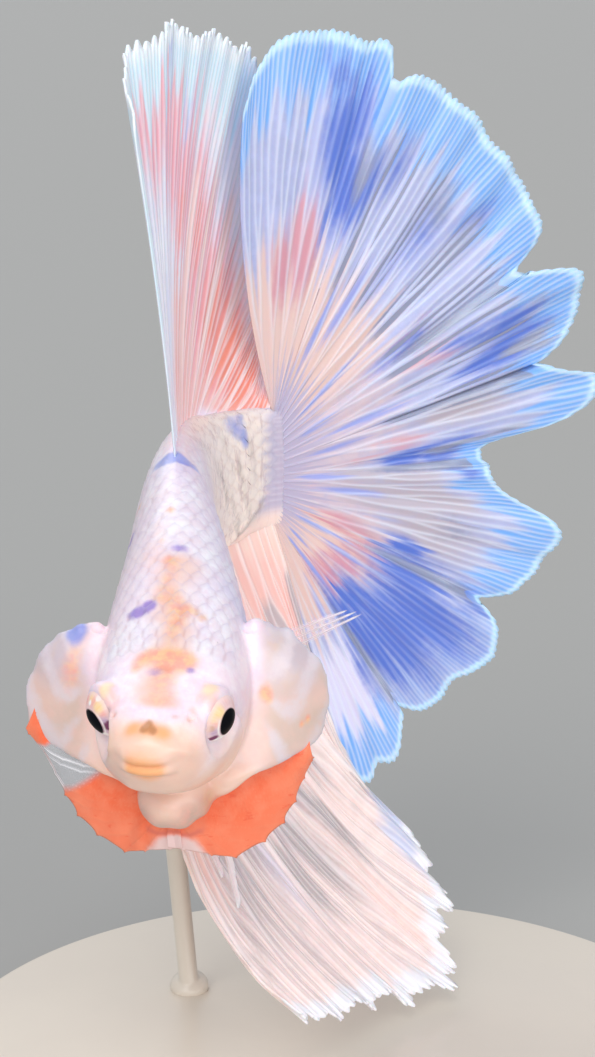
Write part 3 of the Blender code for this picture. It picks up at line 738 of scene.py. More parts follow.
def piece(name, shape, material, masks=None, stands_for=()):
    """A smooth object for (points, faces) in millimetres, with its masks, fixed to the fish."""
    points, faces = shape
    mesh = bpy.data.meshes.new(name)
    mesh.from_pydata(np.asarray(points) * MM, [], faces)
    mesh.materials.append(material)
    mesh.shade_smooth()
    for key, value in (masks or {}).items():
        values = np.asarray(value, np.float32).ravel()
        mesh.attributes.new(key, "FLOAT", "POINT").data.foreach_set("value", values)
    made = bpy.data.objects.new(name, mesh)
    bpy.context.scene.collection.objects.link(made)
    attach(made, "root")
    if stands_for:
        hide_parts(*stands_for)
    return made


skin_paint = skin_material("pearl_skin")
FLESH = ("head", "lower_jaw", "throat", "trunk", "tail_stalk", "gill_cover_left", "gill_cover_right")
piece("skin", (skin_points, skin_faces), skin_paint, markings(*skin_at), FLESH)

# ---------------------------------------------------------------- scales
# Rounded scales overlap like tiles from the nape to the tail's root. Each is a thin plate that grows from a
# pocket in the skin at its front, with its lilac rim towards the tail. They carry the skin's colours.

SCALE_STEP, SCALE_ACROSS = 0.98, 1.12
FIRST_SCALE, LAST_SCALE = 8.2, 44.6
SCALE_SUNK = 0.12  # how deep a scale's underside lies below the skin
ALONG_POINTS, ACROSS_POINTS = 6, 5
# The bake map: the length of fish that it spreads from 0 to 1, and the size of one scale's patch.
MAP_LENGTH, PATCH = 50.0, 0.003
NUDGE = 0.01  # the small step, in millimetres or radians, that finds a surface's slope


def scale_rows():
    """Rows of scales along the body: (station, lengths of arc round it and their angles, where its scales sit
    on the arc, their spacing). Scales are spaced evenly round each section, and every other row is set half a
    step over. Bare places round the fins and gills are left out."""
    table = np.linspace(0, 2 * math.pi, 721)
    rows = []
    count = round((LAST_SCALE - FIRST_SCALE) / SCALE_STEP)
    for k, at in enumerate(np.linspace(FIRST_SCALE, LAST_SCALE, count + 1)):
        ring = place(*skin_place(at + 0 * table, table))
        arc = np.concatenate([[0], np.cumsum(np.linalg.norm(np.diff(ring, axis=0), axis=1))])
        size = 0.8 if at < 11 else 1.0
        number = round(arc[-1] / (SCALE_ACROSS * size))
        where = ((np.arange(number) + 0.5 * (k % 2)) / number) * arc[-1]
        angle = np.interp(where, arc, table)
        _, left, up = skin_place(at + 0 * angle, angle)
        side = np.abs(left)
        gill = (at < 13.4) & (side > 3.9) & (up < 3.2)
        under = (at < 13.5) & (up < -3.5)
        dorsal = (at > 27.8) & (at < 38.6) & (up > 0) & (side < 0.5)
        anal = (at > 14.5) & (up < 0) & (side < 0.55)
        rows.append((at, arc, table, where[~(gill | under | dorsal | anal)], arc[-1] / number))
    return rows


def tile_grid():
    """A scale's own grid: p from its pocket, 0, to its free edge, 1, and q across it, from -1 to 1."""
    return np.linspace(0, 1, ALONG_POINTS)[:, None], np.linspace(-1, 1, ACROSS_POINTS)[None]


def rim_line():
    """1 along a scale's free edge and 0 over the rest, on its grid of points."""
    p, q = tile_grid()
    sides = 0.6 * ease((np.abs(q) - 0.6) / 0.4) * ease((p - 0.4) / 0.4)
    return np.clip(ease((p - 0.75) / 0.25) + sides, 0, 1)


def scales(side):
    """Points, faces, places on the fish and map coordinates of the scales of one side, 1 left or -1 right. A
    scale is a rounded tile: it leaves its pocket below the skin and rises to its free edge, and its sides are
    sunk."""
    p, q = tile_grid()
    wide = 0.62 * np.sqrt(np.clip(1 - (2 * p - 1) ** 2 * 0.93, 0, 1))
    far = 1.75 * (p - 0.42) - 0.22 * q**2 * np.sign(p - 0.3) * p
    height = -0.05 + 0.115 * p**0.8 + 0.035 * (1 - q**2) * (1 - p * 0.5)
    middle = ACROSS_POINTS // 2
    all_points, all_patch, all_spots = [], [], []
    for at, arc, table, where, across in scale_rows():
        station = at + SCALE_STEP * far[None] + 0 * where[:, None, None]
        length = where[:, None, None] + across * wide * q + 0 * station
        angle = np.interp(length % arc[-1], arc, table)
        _, left, up = skin_place(station, angle)
        top = place(station, left, up)
        sideways = place(*skin_place(station, angle + NUDGE)) - top
        tailward = place(*skin_place(station + NUDGE, angle)) - top
        normal = np.cross(tailward, sideways)
        normal /= np.linalg.norm(normal, axis=-1, keepdims=True)
        pick = left[:, ALONG_POINTS // 2, middle] * side > 0
        lifted = top + normal * height[None, ..., None]
        all_points.append(np.stack([lifted, top - normal * SCALE_SUNK], 1)[pick])
        root = np.stack([station / MAP_LENGTH, angle / (2 * math.pi)], -1)[:, :1, middle: middle + 1]
        local = np.stack([p + 0 * q, q / 2 + 0 * p], -1)[None] * PATCH
        all_patch.append(np.stack([root + local] * 2, 1)[pick])
        all_spots.append(np.stack(np.broadcast_arrays(station, left, up), -1)[:, None].repeat(2, 1)[pick])
    points, spots, patch = (np.concatenate(rows) for rows in (all_points, all_spots, all_patch))
    _, faces = leaf(np.zeros((ALONG_POINTS, ACROSS_POINTS, 3)) + np.arange(3), 0.1)
    faces = np.array(faces)
    corner, ahead, beside = points[0, 0, 0, 0], points[0, 0, 1, 0], points[0, 0, 0, 1]
    outwards = points[0, 0, middle, middle] - points[0, 1, middle, middle]
    if np.cross(ahead - corner, beside - corner) @ outwards < 0:
        faces = faces[:, ::-1]
    each = 2 * ALONG_POINTS * ACROSS_POINTS
    faces = (faces[None] + each * np.arange(len(points))[:, None, None]).reshape(-1, 4)
    return points.reshape(-1, 3), faces, spots.reshape(-1, 3), patch.reshape(-1, 2)


scale_paint = skin_material("pearl_scales", True)
for name, side in (("left", 1), ("right", -1)):
    points, faces, spots, patch = scales(side)
    masks = markings(*spots.T)
    masks["rim"] = np.tile(rim_line().ravel(), len(points) // (ALONG_POINTS * ACROSS_POINTS))
    masks["rim"] = masks["rim"] * (1 - 0.8 * masks["hollow"])
    coat = piece("scales_" + name, (points, faces), scale_paint, masks)
    coat.data.set_sharp_from_angle(angle=math.radians(38))
    corners = np.empty(len(coat.data.loops), int)
    coat.data.loops.foreach_get("vertex_index", corners)
    coat.data.uv_layers.new(name="OFBake").data.foreach_set("uv", patch[corners].ravel())

# ---------------------------------------------------------------- eyes
# Each eyeball is a clear, wet, flattened ball turned to look ahead. Its pupil is black and round in a thin
# pale silver ring, painted brightest low and towards the snout as a painted highlight. The iris is pearly:
# yellow and pink above, plum towards the snout, white below: partly silver and partly a painted highlight.
# Small white patches above the pupil are painted glints.

CORNEA = 0.12  # how far it stands out of the ball, in millimetres
# The pupil's radius as a share of the eyeball's, and its middle: towards the snout, up.
PUPIL = 0.49
PUPIL_AT = {"left": (0.0, 0.0), "right": (0.08, -0.14)}
# Patches of the iris, by eye: (towards the snout, up, reach, strength), in shares of the eyeball's radius.
IRIS = {
    "left": {
        "yellow": [(0.38, 0.66, 0.34, 1.0), (0.65, 0.5, 0.26, 0.8)],
        "rose": [(0.85, 0.45, 0.25, 0.9), (-0.2, 0.8, 0.3, 0.5), (0.62, 0.2, 0.2, 0.6)],
        "tan": [(0.82, 0.1, 0.2, 1.0)],
        "lilac": [(0.72, -0.12, 0.25, 0.9), (0.5, -0.3, 0.2, 0.6)],
        "plum": [(0.62, -0.42, 0.17, 0.9)],
        # In both eyes, white is the silver below the pupil with a painted highlight on it, and small painted
        # glints above it.
        "white": [
            (0.25, -0.80, 0.35, 1.0), (0.55, -0.62, 0.2, 0.8), (0.5, 0.85, 0.12, 0.9),
            (-0.5, -0.7, 0.3, 0.8),
        ],
    },
    "right": {
        "yellow": [(0.34, 0.62, 0.28, 1.0), (-0.25, 0.75, 0.25, 0.7)],
        "rose": [(0.0, 0.72, 0.28, 0.9), (0.62, 0.45, 0.25, 0.8), (-0.5, 0.5, 0.3, 0.7)],
        "tan": [(0.5, 0.75, 0.15, 0.4)],
        "lilac": [(0.72, 0.12, 0.28, 1.0), (0.6, -0.3, 0.25, 0.7)],
        "plum": [(0.76, -0.06, 0.22, 1.0), (0.80, 0.12, 0.13, 0.9)],
        "white": [
            (0.15, 0.88, 0.15, 1.0), (-0.15, 0.55, 0.1, 0.8), (0.2, -0.80, 0.32, 1.0),
            (0.5, -0.6, 0.2, 0.8), (-0.6, -0.5, 0.3, 0.8),
        ],
    },
}


def eyeball(name):
    """(points, faces) and masks: a spheroid about the way it looks, its cornea a little proud. theta opens
    from that way and phi goes round it. The rings lie closer where the pupil's edge falls."""
    centre, gaze, above, across = eye_frame(name)
    rings = (np.linspace(0.001, 0.4, 10), np.linspace(0.42, 0.62, 16), np.linspace(0.65, math.pi - 0.001, 64))
    theta, phi = np.meshgrid(np.concatenate(rings), spin(110), indexing="ij")
    out = EYE_ALONG * np.cos(theta) + CORNEA * hump(theta, 0.5)
    wide = EYE_ACROSS * np.sin(theta)
    ring = np.cos(phi)[..., None] * above + np.sin(phi)[..., None] * across
    points = centre + out[..., None] * gaze + wide[..., None] * ring
    forward = -along(4, EYES[name][0][0])
    forward = forward - gaze * (forward @ gaze)
    forward /= np.linalg.norm(forward)
    ahead = (np.cos(phi) * (above @ forward) + np.sin(phi) * (across @ forward)) * np.sin(theta)
    high = np.cos(phi) * np.sin(theta)
    edge = np.sin(theta) - np.hypot(ahead - PUPIL_AT[name][0], (high - PUPIL_AT[name][1]) / 1.08) + PUPIL
    spokes = 0.5 + 0.28 * np.sin(23 * phi + 3 * np.sin(4 * phi)) + 0.22 * np.sin(41 * phi + 1)
    # The pale ring is painted brightest low and towards the snout: a painted highlight.
    lit = ease((0.4 - high + 0.3 * ahead) / 0.5)
    masks = {
        "pupil": ease((edge - np.sin(theta)) / 0.05 + 0.5) * (theta < 1.5),
        "ring": hump(np.sin(theta) - edge - 0.06, 0.03) * (theta < 1.5) * lit,
        "brim": ease((np.sin(theta) - 0.72) / 0.15),
        "spokes": spokes * ease((np.sin(theta) - edge) / 0.2),
    }
    for key, places in IRIS[name].items():
        total = 0 * theta
        for at, up, reach, strength in places:
            total = np.maximum(total, strength * hump(np.hypot(ahead - at, high - up), reach))
        masks[key] = total
    return tube(points), masks


def eye_material():
    """A clear wet coat over the iris: pearly pink under its patches, pale spokes and the ringed pupil."""
    material, tree, shader = new_material(
        "wet_eye", Roughness=0.4, IOR=1.2, Coat_Weight=0.06, Coat_Roughness=0.06, Specular_IOR_Level=0.1
    )
    grain = noise(tree, 1800, 4)
    layers = [
        (ragged(tree, mask(tree, key), grain, low, high, 0.6), most, tint)
        for key, tint, most, low, high in (
            ("rose", (0.90, 0.38, 0.32), 0.85, 0.15, 0.9),
            ("yellow", (0.95, 0.66, 0.30), 0.9, 0.15, 0.9),
            ("lilac", (0.50, 0.34, 0.52), 0.85, 0.15, 0.9),
            ("tan", (0.62, 0.33, 0.18), 0.8, 0.2, 0.9),
            # White is partly the iris's silver and partly painted highlight and glints.
            ("white", (0.93, 0.95, 0.93), 0.95, 0.2, 0.7),
        )
    ]
    layers += [
        (mask(tree, "spokes"), 0.2, (0.97, 0.93, 0.88)),
        (mask(tree, "brim"), 0.7, (0.88, 0.68, 0.66)),
        (ragged(tree, mask(tree, "plum"), grain, 0.25, 0.75, 0.6), 1, (0.20, 0.06, 0.13)),
        # The ring's brightest part, low and towards the snout, is a painted highlight.
        (mask(tree, "ring"), 0.8, (0.95, 0.92, 0.86)),
        (mask(tree, "pupil"), 1, (0.004, 0.004, 0.006)),
    ]
    pearl = blend(tree, ragged(tree, grain, grain, 0.3, 0.8, 0.2), (0.80, 0.54, 0.55), (0.88, 0.68, 0.68))
    tree.links.new(layered(tree, pearl, layers), shader.inputs["Base Color"])
    return material


eye_paint = eye_material()
for name in EYES:
    shape, masks = eyeball(name)
    piece("eyeball_" + name, shape, eye_paint, masks, ("eye_" + name,))

# ---------------------------------------------------------------- gill membranes
# The orange beard: a thin membrane under each gill cover, held open by fine bony rays like a half umbrella.
# It is flecked across its rays, has a thin dark hem and grows pale where the halves meet. The right one is
# clear near its outer corner.

# (station, out from the middle, up) along the root under the cover and the free edge, outer corner first.
MEMBRANE_ROOT = [
    (10.2, 8.6, -3.6),
    (9.4, 6.6, -3.9),
    (8.4, 4.6, -3.9),
    (7.6, 3.0, -4.2),
    (7.0, 1.9, -4.9),
    (6.4, 1.1, -5.8),
    (6.0, -0.4, -6.6),
]
MEMBRANE_EDGE = [
    (9.8, 8.9, -5.5),
    (9.2, 8.1, -7.25),
    (8.4, 7.3, -8.9),
    (7.4, 6.0, -10.2),
    (6.3, 3.7, -11.0),
    (5.5, 1.8, -10.2),
    (5.1, -0.5, -9.4),
]
# On the right the outer corner shows past the gill cover.
TIP_ROOT, TIP_EDGE = (11.9, 8.7, -0.8), (10.6, 10.1, -4.05)
BEARD_RAYS = 1.25  # rays from one key to the next
FORK_LENGTH = 0.22  # the share of a ray over which its two branches draw apart


def ray_distance(across, out, rays, forks):
    """How far a place is from the nearest ray, as a share of the rays' spacing at the root. Each ray parts in
    two at every fork: the distance is folded about the two branches as they draw apart."""
    distance = np.abs(across * rays % 1 - 0.5)
    apart = 0.25
    for at in forks:
        distance = np.abs(distance - apart * ease((out - at) / FORK_LENGTH))
        apart /= 2
    return distance


def ray_mask(across, out, rays, forks, width):
    """1 on a ray and 0 between, with rays that thin at every fork."""
    level = sum(ease((out - at) / FORK_LENGTH) for at in forks)
    return hump(ray_distance(across, out, rays, forks), width * 0.62**level)


def membrane(side):
    """(points, faces) and masks of one half of the beard: k runs along its keys from the outer corner to the
    middle and v down from under the cover. Its edge is drawn in between the ray tips, and its rays open like
    a fan."""
    roots, edges = MEMBRANE_ROOT, MEMBRANE_EDGE
    if side < 0:
        roots, edges = [TIP_ROOT, *roots], [TIP_EDGE, *edges]
    u, v = np.meshgrid(np.linspace(0, 1, 200), np.linspace(0, 1, 44), indexing="ij")
    k = u * (len(roots) - 1) - (len(roots) - 7)
    tips = np.abs(BEARD_RAYS * k % 1 - 0.5) * 2
    reach = 1.015 - 0.07 * (1 - tips**2) + 0.006 * np.sin(31 * u + side)
    spot = ruled(roots, edges, u, v * reach, (-0.6, 0, 0))
    spot[..., 0] += 0.07 * np.cos(2 * math.pi * BEARD_RAYS * k) * v + 0.05 * np.sin(17 * u + 6 * v) * v
    share = (v + 0.05) / 1.05
    aimed = 6 + (k - 6) / share
    rays = hump(np.abs((BEARD_RAYS * aimed + 0.5) % 1 - 0.5), 0.045) * ease((share - 0.15) / 0.3)
    lines = hump(v - 0.60 + 0.16 * k, 0.022) + 0.7 * hump(v - 0.80 + 0.22 * k, 0.02) + hump(v - 0.98, 0.03)
    points = place(spot[..., 0], side * spot[..., 1], spot[..., 2])[::side]
    clear = 0 * u
    if side < 0:
        clear = ease((k - 0.3 + 0.8 * v) / 0.25) * ease((2.75 - k - 1.15 * v) / 0.45)
    rays = rays * (1 - clear)
    masks = {
        "ray": np.clip(rays + lines * clear, 0, 1),
        "hem": ease((v - 0.975) / 0.02),
        "pale": ease((k - 5.3 + 1.1 * v) / 1.3) * ease((v - 0.45) / 0.35),
        "clear": clear,
        "deep": ease((v - 0.35) / 0.5),
        "red": hump(v - 0.56 - 0.04 * np.sin(30 * u), 0.05) * ease((k - 4.5) / 0.5),
    }
    shape = leaf(points, (0.05 + 0.06 * rays)[::side])
    return shape, {key: np.concatenate([m[::side].ravel()] * 2) for key, m in masks.items()}


def membrane_material():
    """Coral orange, flecked across its rays, with a thin dark hem, pale and clear where its masks say."""
    material, tree, shader = new_material(
        "orange_membrane", Roughness=0.42, Coat_Weight=0.2, Coat_Roughness=0.2, Specular_IOR_Level=0.35
    )
    streaks, flecks = noise(tree, 500, 4, 0.6), noise(tree, 1500, 3, 0.5, (0.6, 0.6, 1.8))
    clear, rays = mask(tree, "clear"), mask(tree, "ray")
    coral = blend(tree, ragged(tree, streaks, streaks, 0.35, 0.7, 0.1), (0.98, 0.16, 0.06), (1.0, 0.24, 0.12))
    layers = (
        (mask(tree, "deep"), 0.4, (1.0, 0.33, 0.19)),
        (ragged(tree, flecks, flecks, 0.62, 0.75, 0.1), 0.5, (0.92, 0.10, 0.04)),
        (rays, 0.25, (1.0, 0.34, 0.18)),
        (ragged(tree, mask(tree, "pale"), streaks, 0.2, 0.8, 0.7), 1, (0.86, 0.62, 0.60)),
        (mask(tree, "red"), 0.7, (0.72, 0.16, 0.12)),
        (clear, 1, (0.56, 0.57, 0.62)),
        (sums(tree, "MULTIPLY", clear, rays), 1, (0.92, 0.92, 0.95)),
        (mask(tree, "hem"), 0.5, (0.62, 0.18, 0.10)),
    )
    tree.links.new(layered(tree, coral, layers), shader.inputs["Base Color"])
    thin = sums(tree, "MULTIPLY", clear, sums(tree, "SUBTRACT", 0.78, rays))
    tree.links.new(sums(tree, "SUBTRACT", 1.0, thin), shader.inputs["Alpha"])
    bumped(tree, shader, streaks, 0.00004, 0.3)
    return material


beard_paint = membrane_material()
for name, side in (("left", 1), ("right", -1)):
    shape, masks = membrane(side)
    piece("beard_" + name, shape, beard_paint, masks, ("gill_membrane_" + name,))

# ---------------------------------------------------------------- fins
# Every fin is a fan of bony rays that fork on their way out, with wet membrane stretched between them. The
# membrane is thin, pleated between the rays and frayed where the ray tips pass its edge.

INTO_SKIN = 0.7  # how far a fin's root runs into the flesh


def spread(root, aim, length, rows, bow=(0.0, 0.0)):
    """A fan of rays from root, (station, left, up), along aim, (sweep, lean) in degrees: sweep turns a ray
    from up (0) through tailward (90) to down (180), and lean tips it to the left. bow bends its middle."""
    station, left, up = (np.asarray(value, float) for value in root)
    sweep, lean = (np.radians(np.asarray(value, float)) for value in aim)
    across, above, back = along(2, station), along(3, station), along(4, station)
    plane = np.cos(sweep)[:, None] * above + np.sin(sweep)[:, None] * back
    ray = np.cos(lean)[:, None] * plane + np.sin(lean)[:, None] * across
    bend_in = np.cos(sweep)[:, None] * back - np.sin(sweep)[:, None] * above
    bend = np.asarray(bow[0])[..., None] * bend_in + np.asarray(bow[1])[..., None] * across + 0 * ray
    v = rows[None, :, None]
    steps = v * ray[:, None] + 4 * v * (1 - v) * bend[:, None]
    return place(station, left, up)[:, None] + length[:, None, None] * steps


def draped(root, aim, edge, rows, stiff):
    """A fan of rays that leave root along aim and end on edge, points from the snout: each a curve with one
    middle point, which lies stiff's share of the ray's length out along its aim."""
    station, left, up = (np.asarray(value, float) for value in root)
    sweep, lean = (np.radians(np.asarray(value, float)) for value in aim)
    start = place(station, left, up)
    plane = np.cos(sweep)[:, None] * along(3, station) + np.sin(sweep)[:, None] * along(4, station)
    ray = np.cos(lean)[:, None] * plane + np.sin(lean)[:, None] * along(2, station)
    edge = np.asarray(edge) + SNOUT_AT
    middle = start + ray * np.linalg.norm(edge - start, axis=1)[:, None] * np.asarray(stiff)[..., None]
    v = rows[None, :, None]
    return (1 - v) ** 2 * start[:, None] + 2 * v * (1 - v) * middle[:, None] + v**2 * edge[:, None]


def stretched(points, factor):
    """Rays drawn out or in: every point slides along its own ray, which carries on straight past its end."""
    count = points.shape[1]
    at = np.clip(np.linspace(0, 1, count)[None] * factor[:, None] * (count - 1), 0, None)
    i = np.clip(at.astype(int), 0, count - 2)
    t = (at - i)[..., None]
    rows = np.arange(len(points))[:, None]
    return points[rows, i] * (1 - t) + points[rows, i + 1] * t


def pleated(points, wave):
    """The fan pushed out of its own surface by wave, a grid of heights."""
    normal = np.cross(np.gradient(points, axis=0), np.gradient(points, axis=1))
    normal /= np.maximum(np.linalg.norm(normal, axis=-1, keepdims=True), 1e-9)
    return points + normal * wave[..., None]


def frayed(across, tips, seed, depth, tooth):
    """How much longer each ray is than the fan: a tooth at every tip, and a slow random unevenness."""
    random = np.random.default_rng(seed)
    knots = random.uniform(-1, 1, tips // 3 + 2)
    slow = np.interp(across * (len(knots) - 1), np.arange(len(knots)), knots)
    fast = random.uniform(0.3, 1, tips + 1)[(across * tips).astype(int)]
    return 1 + depth * slow + tooth * fast * (np.abs(np.sin(math.pi * tips * across)) - 0.5)


def patches(across, out, spots, tips, seed):
    """A colour mask on a fin: bells at (across, out) with their reach both ways, shifted ray by ray."""
    shift = np.random.default_rng(seed).uniform(-1, 1, 2 * tips)[(across * tips).astype(int)]
    total = 0 * out
    for where, height, wide, tall, strength in spots:
        far = ((across - where) / wide) ** 2 + ((out + 0.05 * shift - height) / tall) ** 2
        total = np.maximum(total, strength * np.exp(-0.7 * far))
    return total


def fin_material(name, ground, layers, clear=0.0, ray=(0.90, 0.90, 0.97)):
    """Fin membrane: its ground under layers of (mask, colour, how soft its edge is), then the pale rays. The
    mask "window" is where the membrane is clear, by the share clear, so what lies behind it shows."""
    material, tree, shader = new_material(
        name, Roughness=0.36, Coat_Weight=0.3, Coat_Roughness=0.2,
        Subsurface_Weight=0.12, Subsurface_Scale=0.0006,
    )
    grain, rays = noise(tree, 800, 5, 0.6), mask(tree, "ray")
    lighter = tuple(0.8 + 0.2 * part if part > 0.8 else 1.12 * part for part in ground)
    colour = blend(tree, ragged(tree, grain, grain, 0.3, 0.75, 0.1), ground, lighter)
    for key, tint, soft in layers:
        colour = blend(tree, ragged(tree, mask(tree, key), grain, 0.5 - soft, 0.5 + soft, 0.45), colour, tint)
    tree.links.new(layered(tree, colour, [(rays, 0.5, ray)]), shader.inputs["Base Color"])
    if clear:
        glassy = sums(tree, "MULTIPLY", ragged(tree, mask(tree, "window"), grain, 0.2, 0.8, 0.4), clear)
        between_rays = sums(tree, "SUBTRACT", 1.0, sums(tree, "MULTIPLY", rays, 0.7))
        glassy = sums(tree, "MULTIPLY", glassy, between_rays)
        tree.links.new(sums(tree, "SUBTRACT", 1.0, glassy), shader.inputs["Alpha"])
    bumped(tree, shader, noise(tree, 3000, 2), 0.00003, 0.3)
    return material


def fin_piece(name, points, rays, material, masks, node_name, thin=0.045, rib=0.06, stout=0.0):
    """A fin from its middle surface: a leaf, thicker along its rays, with its masks on both faces. Its rays
    are stouter at the root."""
    v = np.linspace(0, 1, rays.shape[1])
    swell = stout * (1 - v) ** 12 * ease(v / 0.06)
    shape = leaf(points, thin + rib * rays * (1 + swell) + 0.06 * swell)
    both = {key: np.concatenate([np.broadcast_to(m, rays.shape).ravel()] * 2) for key, m in masks.items()}
    return piece(name, shape, material, both, (node_name,))


# Tail fin: seven lobes, each the sweep and length of rays along its edge.
TAIL_LOBES = [
    [(-6.5, 22.8), (-3.9, 25.0), (-0.6, 26.8), (1.8, 27.8), (5.6, 28.5), (10.1, 28.9), (15.2, 28.8),
     (20.4, 28.7), (21.6, 27.2)],
    [(21.8, 27.0), (22.8, 27.8), (24.9, 28.2), (31.2, 28.1), (36.5, 28.2), (40.1, 27.6), (43.4, 27.8),
     (48.7, 27.9), (52.8, 27.5), (55.9, 27.4), (57.6, 26.3), (59.0, 24.2)],
    [(59.3, 24.3), (61.1, 26.2), (63.9, 28.4), (67.4, 28.2), (70.1, 27.5), (72.1, 26.2), (75.0, 23.4)],
    [(75.4, 23.7), (77.3, 25.6), (79.2, 28.0), (81.0, 27.9), (83.6, 26.4), (85.2, 23.9), (86.2, 20.5),
     (87.6, 18.3), (90.2, 17.7)],
    [(90.6, 17.7), (93.2, 18.0), (95.6, 18.9), (99.0, 21.6), (100.9, 24.0), (103.1, 25.2), (107.2, 24.8),
     (111.7, 23.9), (116.0, 22.1), (118.2, 20.2)],
    [(118.8, 19.8), (120.3, 21.4), (124.2, 22.9), (128.3, 23.1), (131.2, 22.4), (134.5, 21.5),
     (138.6, 22.2), (142.5, 21.6), (146.5, 19.8)],
    [(147.4, 20.0), (149.9, 21.6), (153.8, 23.0), (156.5, 22.8), (158.5, 24.0), (160.4, 23.6),
     (163.0, 20.0)],
]
TAIL_RIPPLE = 0.7  # how far a lobe's first and last rays lean to either side, in millimetres
TAIL_TIPS = 150
# Spots on the tail: (sweep in degrees, share of the way out, reach both ways, strength).
TAIL_SPOTS = {
    "pink": [
        (12, 0.44, 5, 0.12, 1), (6, 0.38, 4, 0.1, 0.9), (63, 0.51, 2.5, 0.07, 0.8), (114, 0.27, 4, 0.1, 1),
        (121, 0.37, 4, 0.08, 1), (129, 0.29, 5, 0.08, 0.9), (141, 0.28, 7, 0.08, 1),
        (83.5, 0.38, 4.5, 0.08, 0.6), (56.5, 0.49, 3, 0.06, 0.7),
    ],
    "violet": [
        (27, 0.26, 1.6, 0.12, 0.9), (33, 0.36, 1.8, 0.12, 0.9), (38, 0.50, 2, 0.12, 0.8),
        (49, 0.18, 1.5, 0.12, 0.9), (57, 0.42, 2.5, 0.1, 0.8), (63, 0.10, 2, 0.06, 0.9),
        (71, 0.30, 1.8, 0.12, 0.9), (78, 0.18, 1.6, 0.1, 0.8), (92, 0.18, 1.6, 0.12, 1),
        (99, 0.30, 1.5, 0.12, 1), (121, 0.16, 1.3, 0.14, 1), (126, 0.28, 1.2, 0.1, 0.9),
        (136, 0.10, 1.4, 0.08, 0.9), (144, 0.20, 1.4, 0.14, 1), (152, 0.36, 1.4, 0.12, 0.8),
        (18, 0.56, 3, 0.08, 0.7),
    ],
    "blue": [
        (16, 0.77, 4.5, 0.15, 1), (19, 0.62, 3, 0.12, 1), (22.5, 0.66, 2.5, 0.12, 1),
        (13, 0.90, 4, 0.07, 0.7), (27, 0.74, 4, 0.12, 0.6), (40, 0.68, 4, 0.14, 0.6),
        (47, 0.80, 3.5, 0.09, 0.6), (70, 0.74, 3.5, 0.13, 1), (64, 0.62, 3, 0.1, 0.7),
        (57, 0.50, 3, 0.07, 0.7), (87.5, 0.58, 3.5, 0.11, 1), (88, 0.76, 2.5, 0.1, 1),
        (92, 0.86, 2, 0.06, 0.8), (66, 0.74, 3, 0.12, 0.9), (114, 0.50, 3, 0.08, 1),
        (121, 0.60, 6, 0.16, 1), (128, 0.66, 7, 0.26, 1), (136, 0.64, 8, 0.28, 1), (144, 0.62, 5, 0.26, 1),
        (139, 0.44, 8, 0.09, 1), (120, 0.88, 4, 0.08, 0.7), (150, 0.7, 2, 0.16, 0.7),
    ],
    "grey": [
        (78, 0.58, 3.5, 0.16, 0.9), (92, 0.56, 4, 0.18, 1), (99, 0.64, 4, 0.14, 1),
        (106, 0.52, 5, 0.14, 0.9), (100, 0.46, 6, 0.2, 1), (110, 0.6, 5, 0.2, 0.8),
        (92, 0.36, 4, 0.14, 0.8), (122, 0.38, 5, 0.09, 0.5), (113, 0.34, 4, 0.1, 0.5),
        (60, 0.56, 4, 0.1, 0.5),
    ],
    "window": [
        (71, 0.86, 1.8, 0.08, 0.9), (86, 0.76, 2, 0.08, 0.9), (40, 0.74, 3, 0.08, 0.6),
        (22, 0.72, 1.5, 0.1, 0.7), (106, 0.64, 4, 0.08, 0.5), (48, 0.7, 2, 0.1, 0.5),
        (64, 0.84, 2, 0.06, 0.5),
    ],
}


def tail_lengths(sweep):
    """Ray length, how far each ray's tip stands out of the fan, and how near it is to a gap between lobes."""
    length, lean, gap = np.zeros_like(sweep), np.zeros_like(sweep), np.zeros_like(sweep)
    for lobe in TAIL_LOBES:
        first, last = lobe[0][0], lobe[-1][0]
        here = (sweep >= first) & (sweep <= last)
        t = (sweep[here] - first) / (last - first)
        length[here] = through(lobe, sweep[here])[:, 0]
        lean[here] = np.cos(math.pi * t)
        gap[here] = np.maximum(hump(t, 0.05), hump(1 - t, 0.05))
    return length, lean, gap


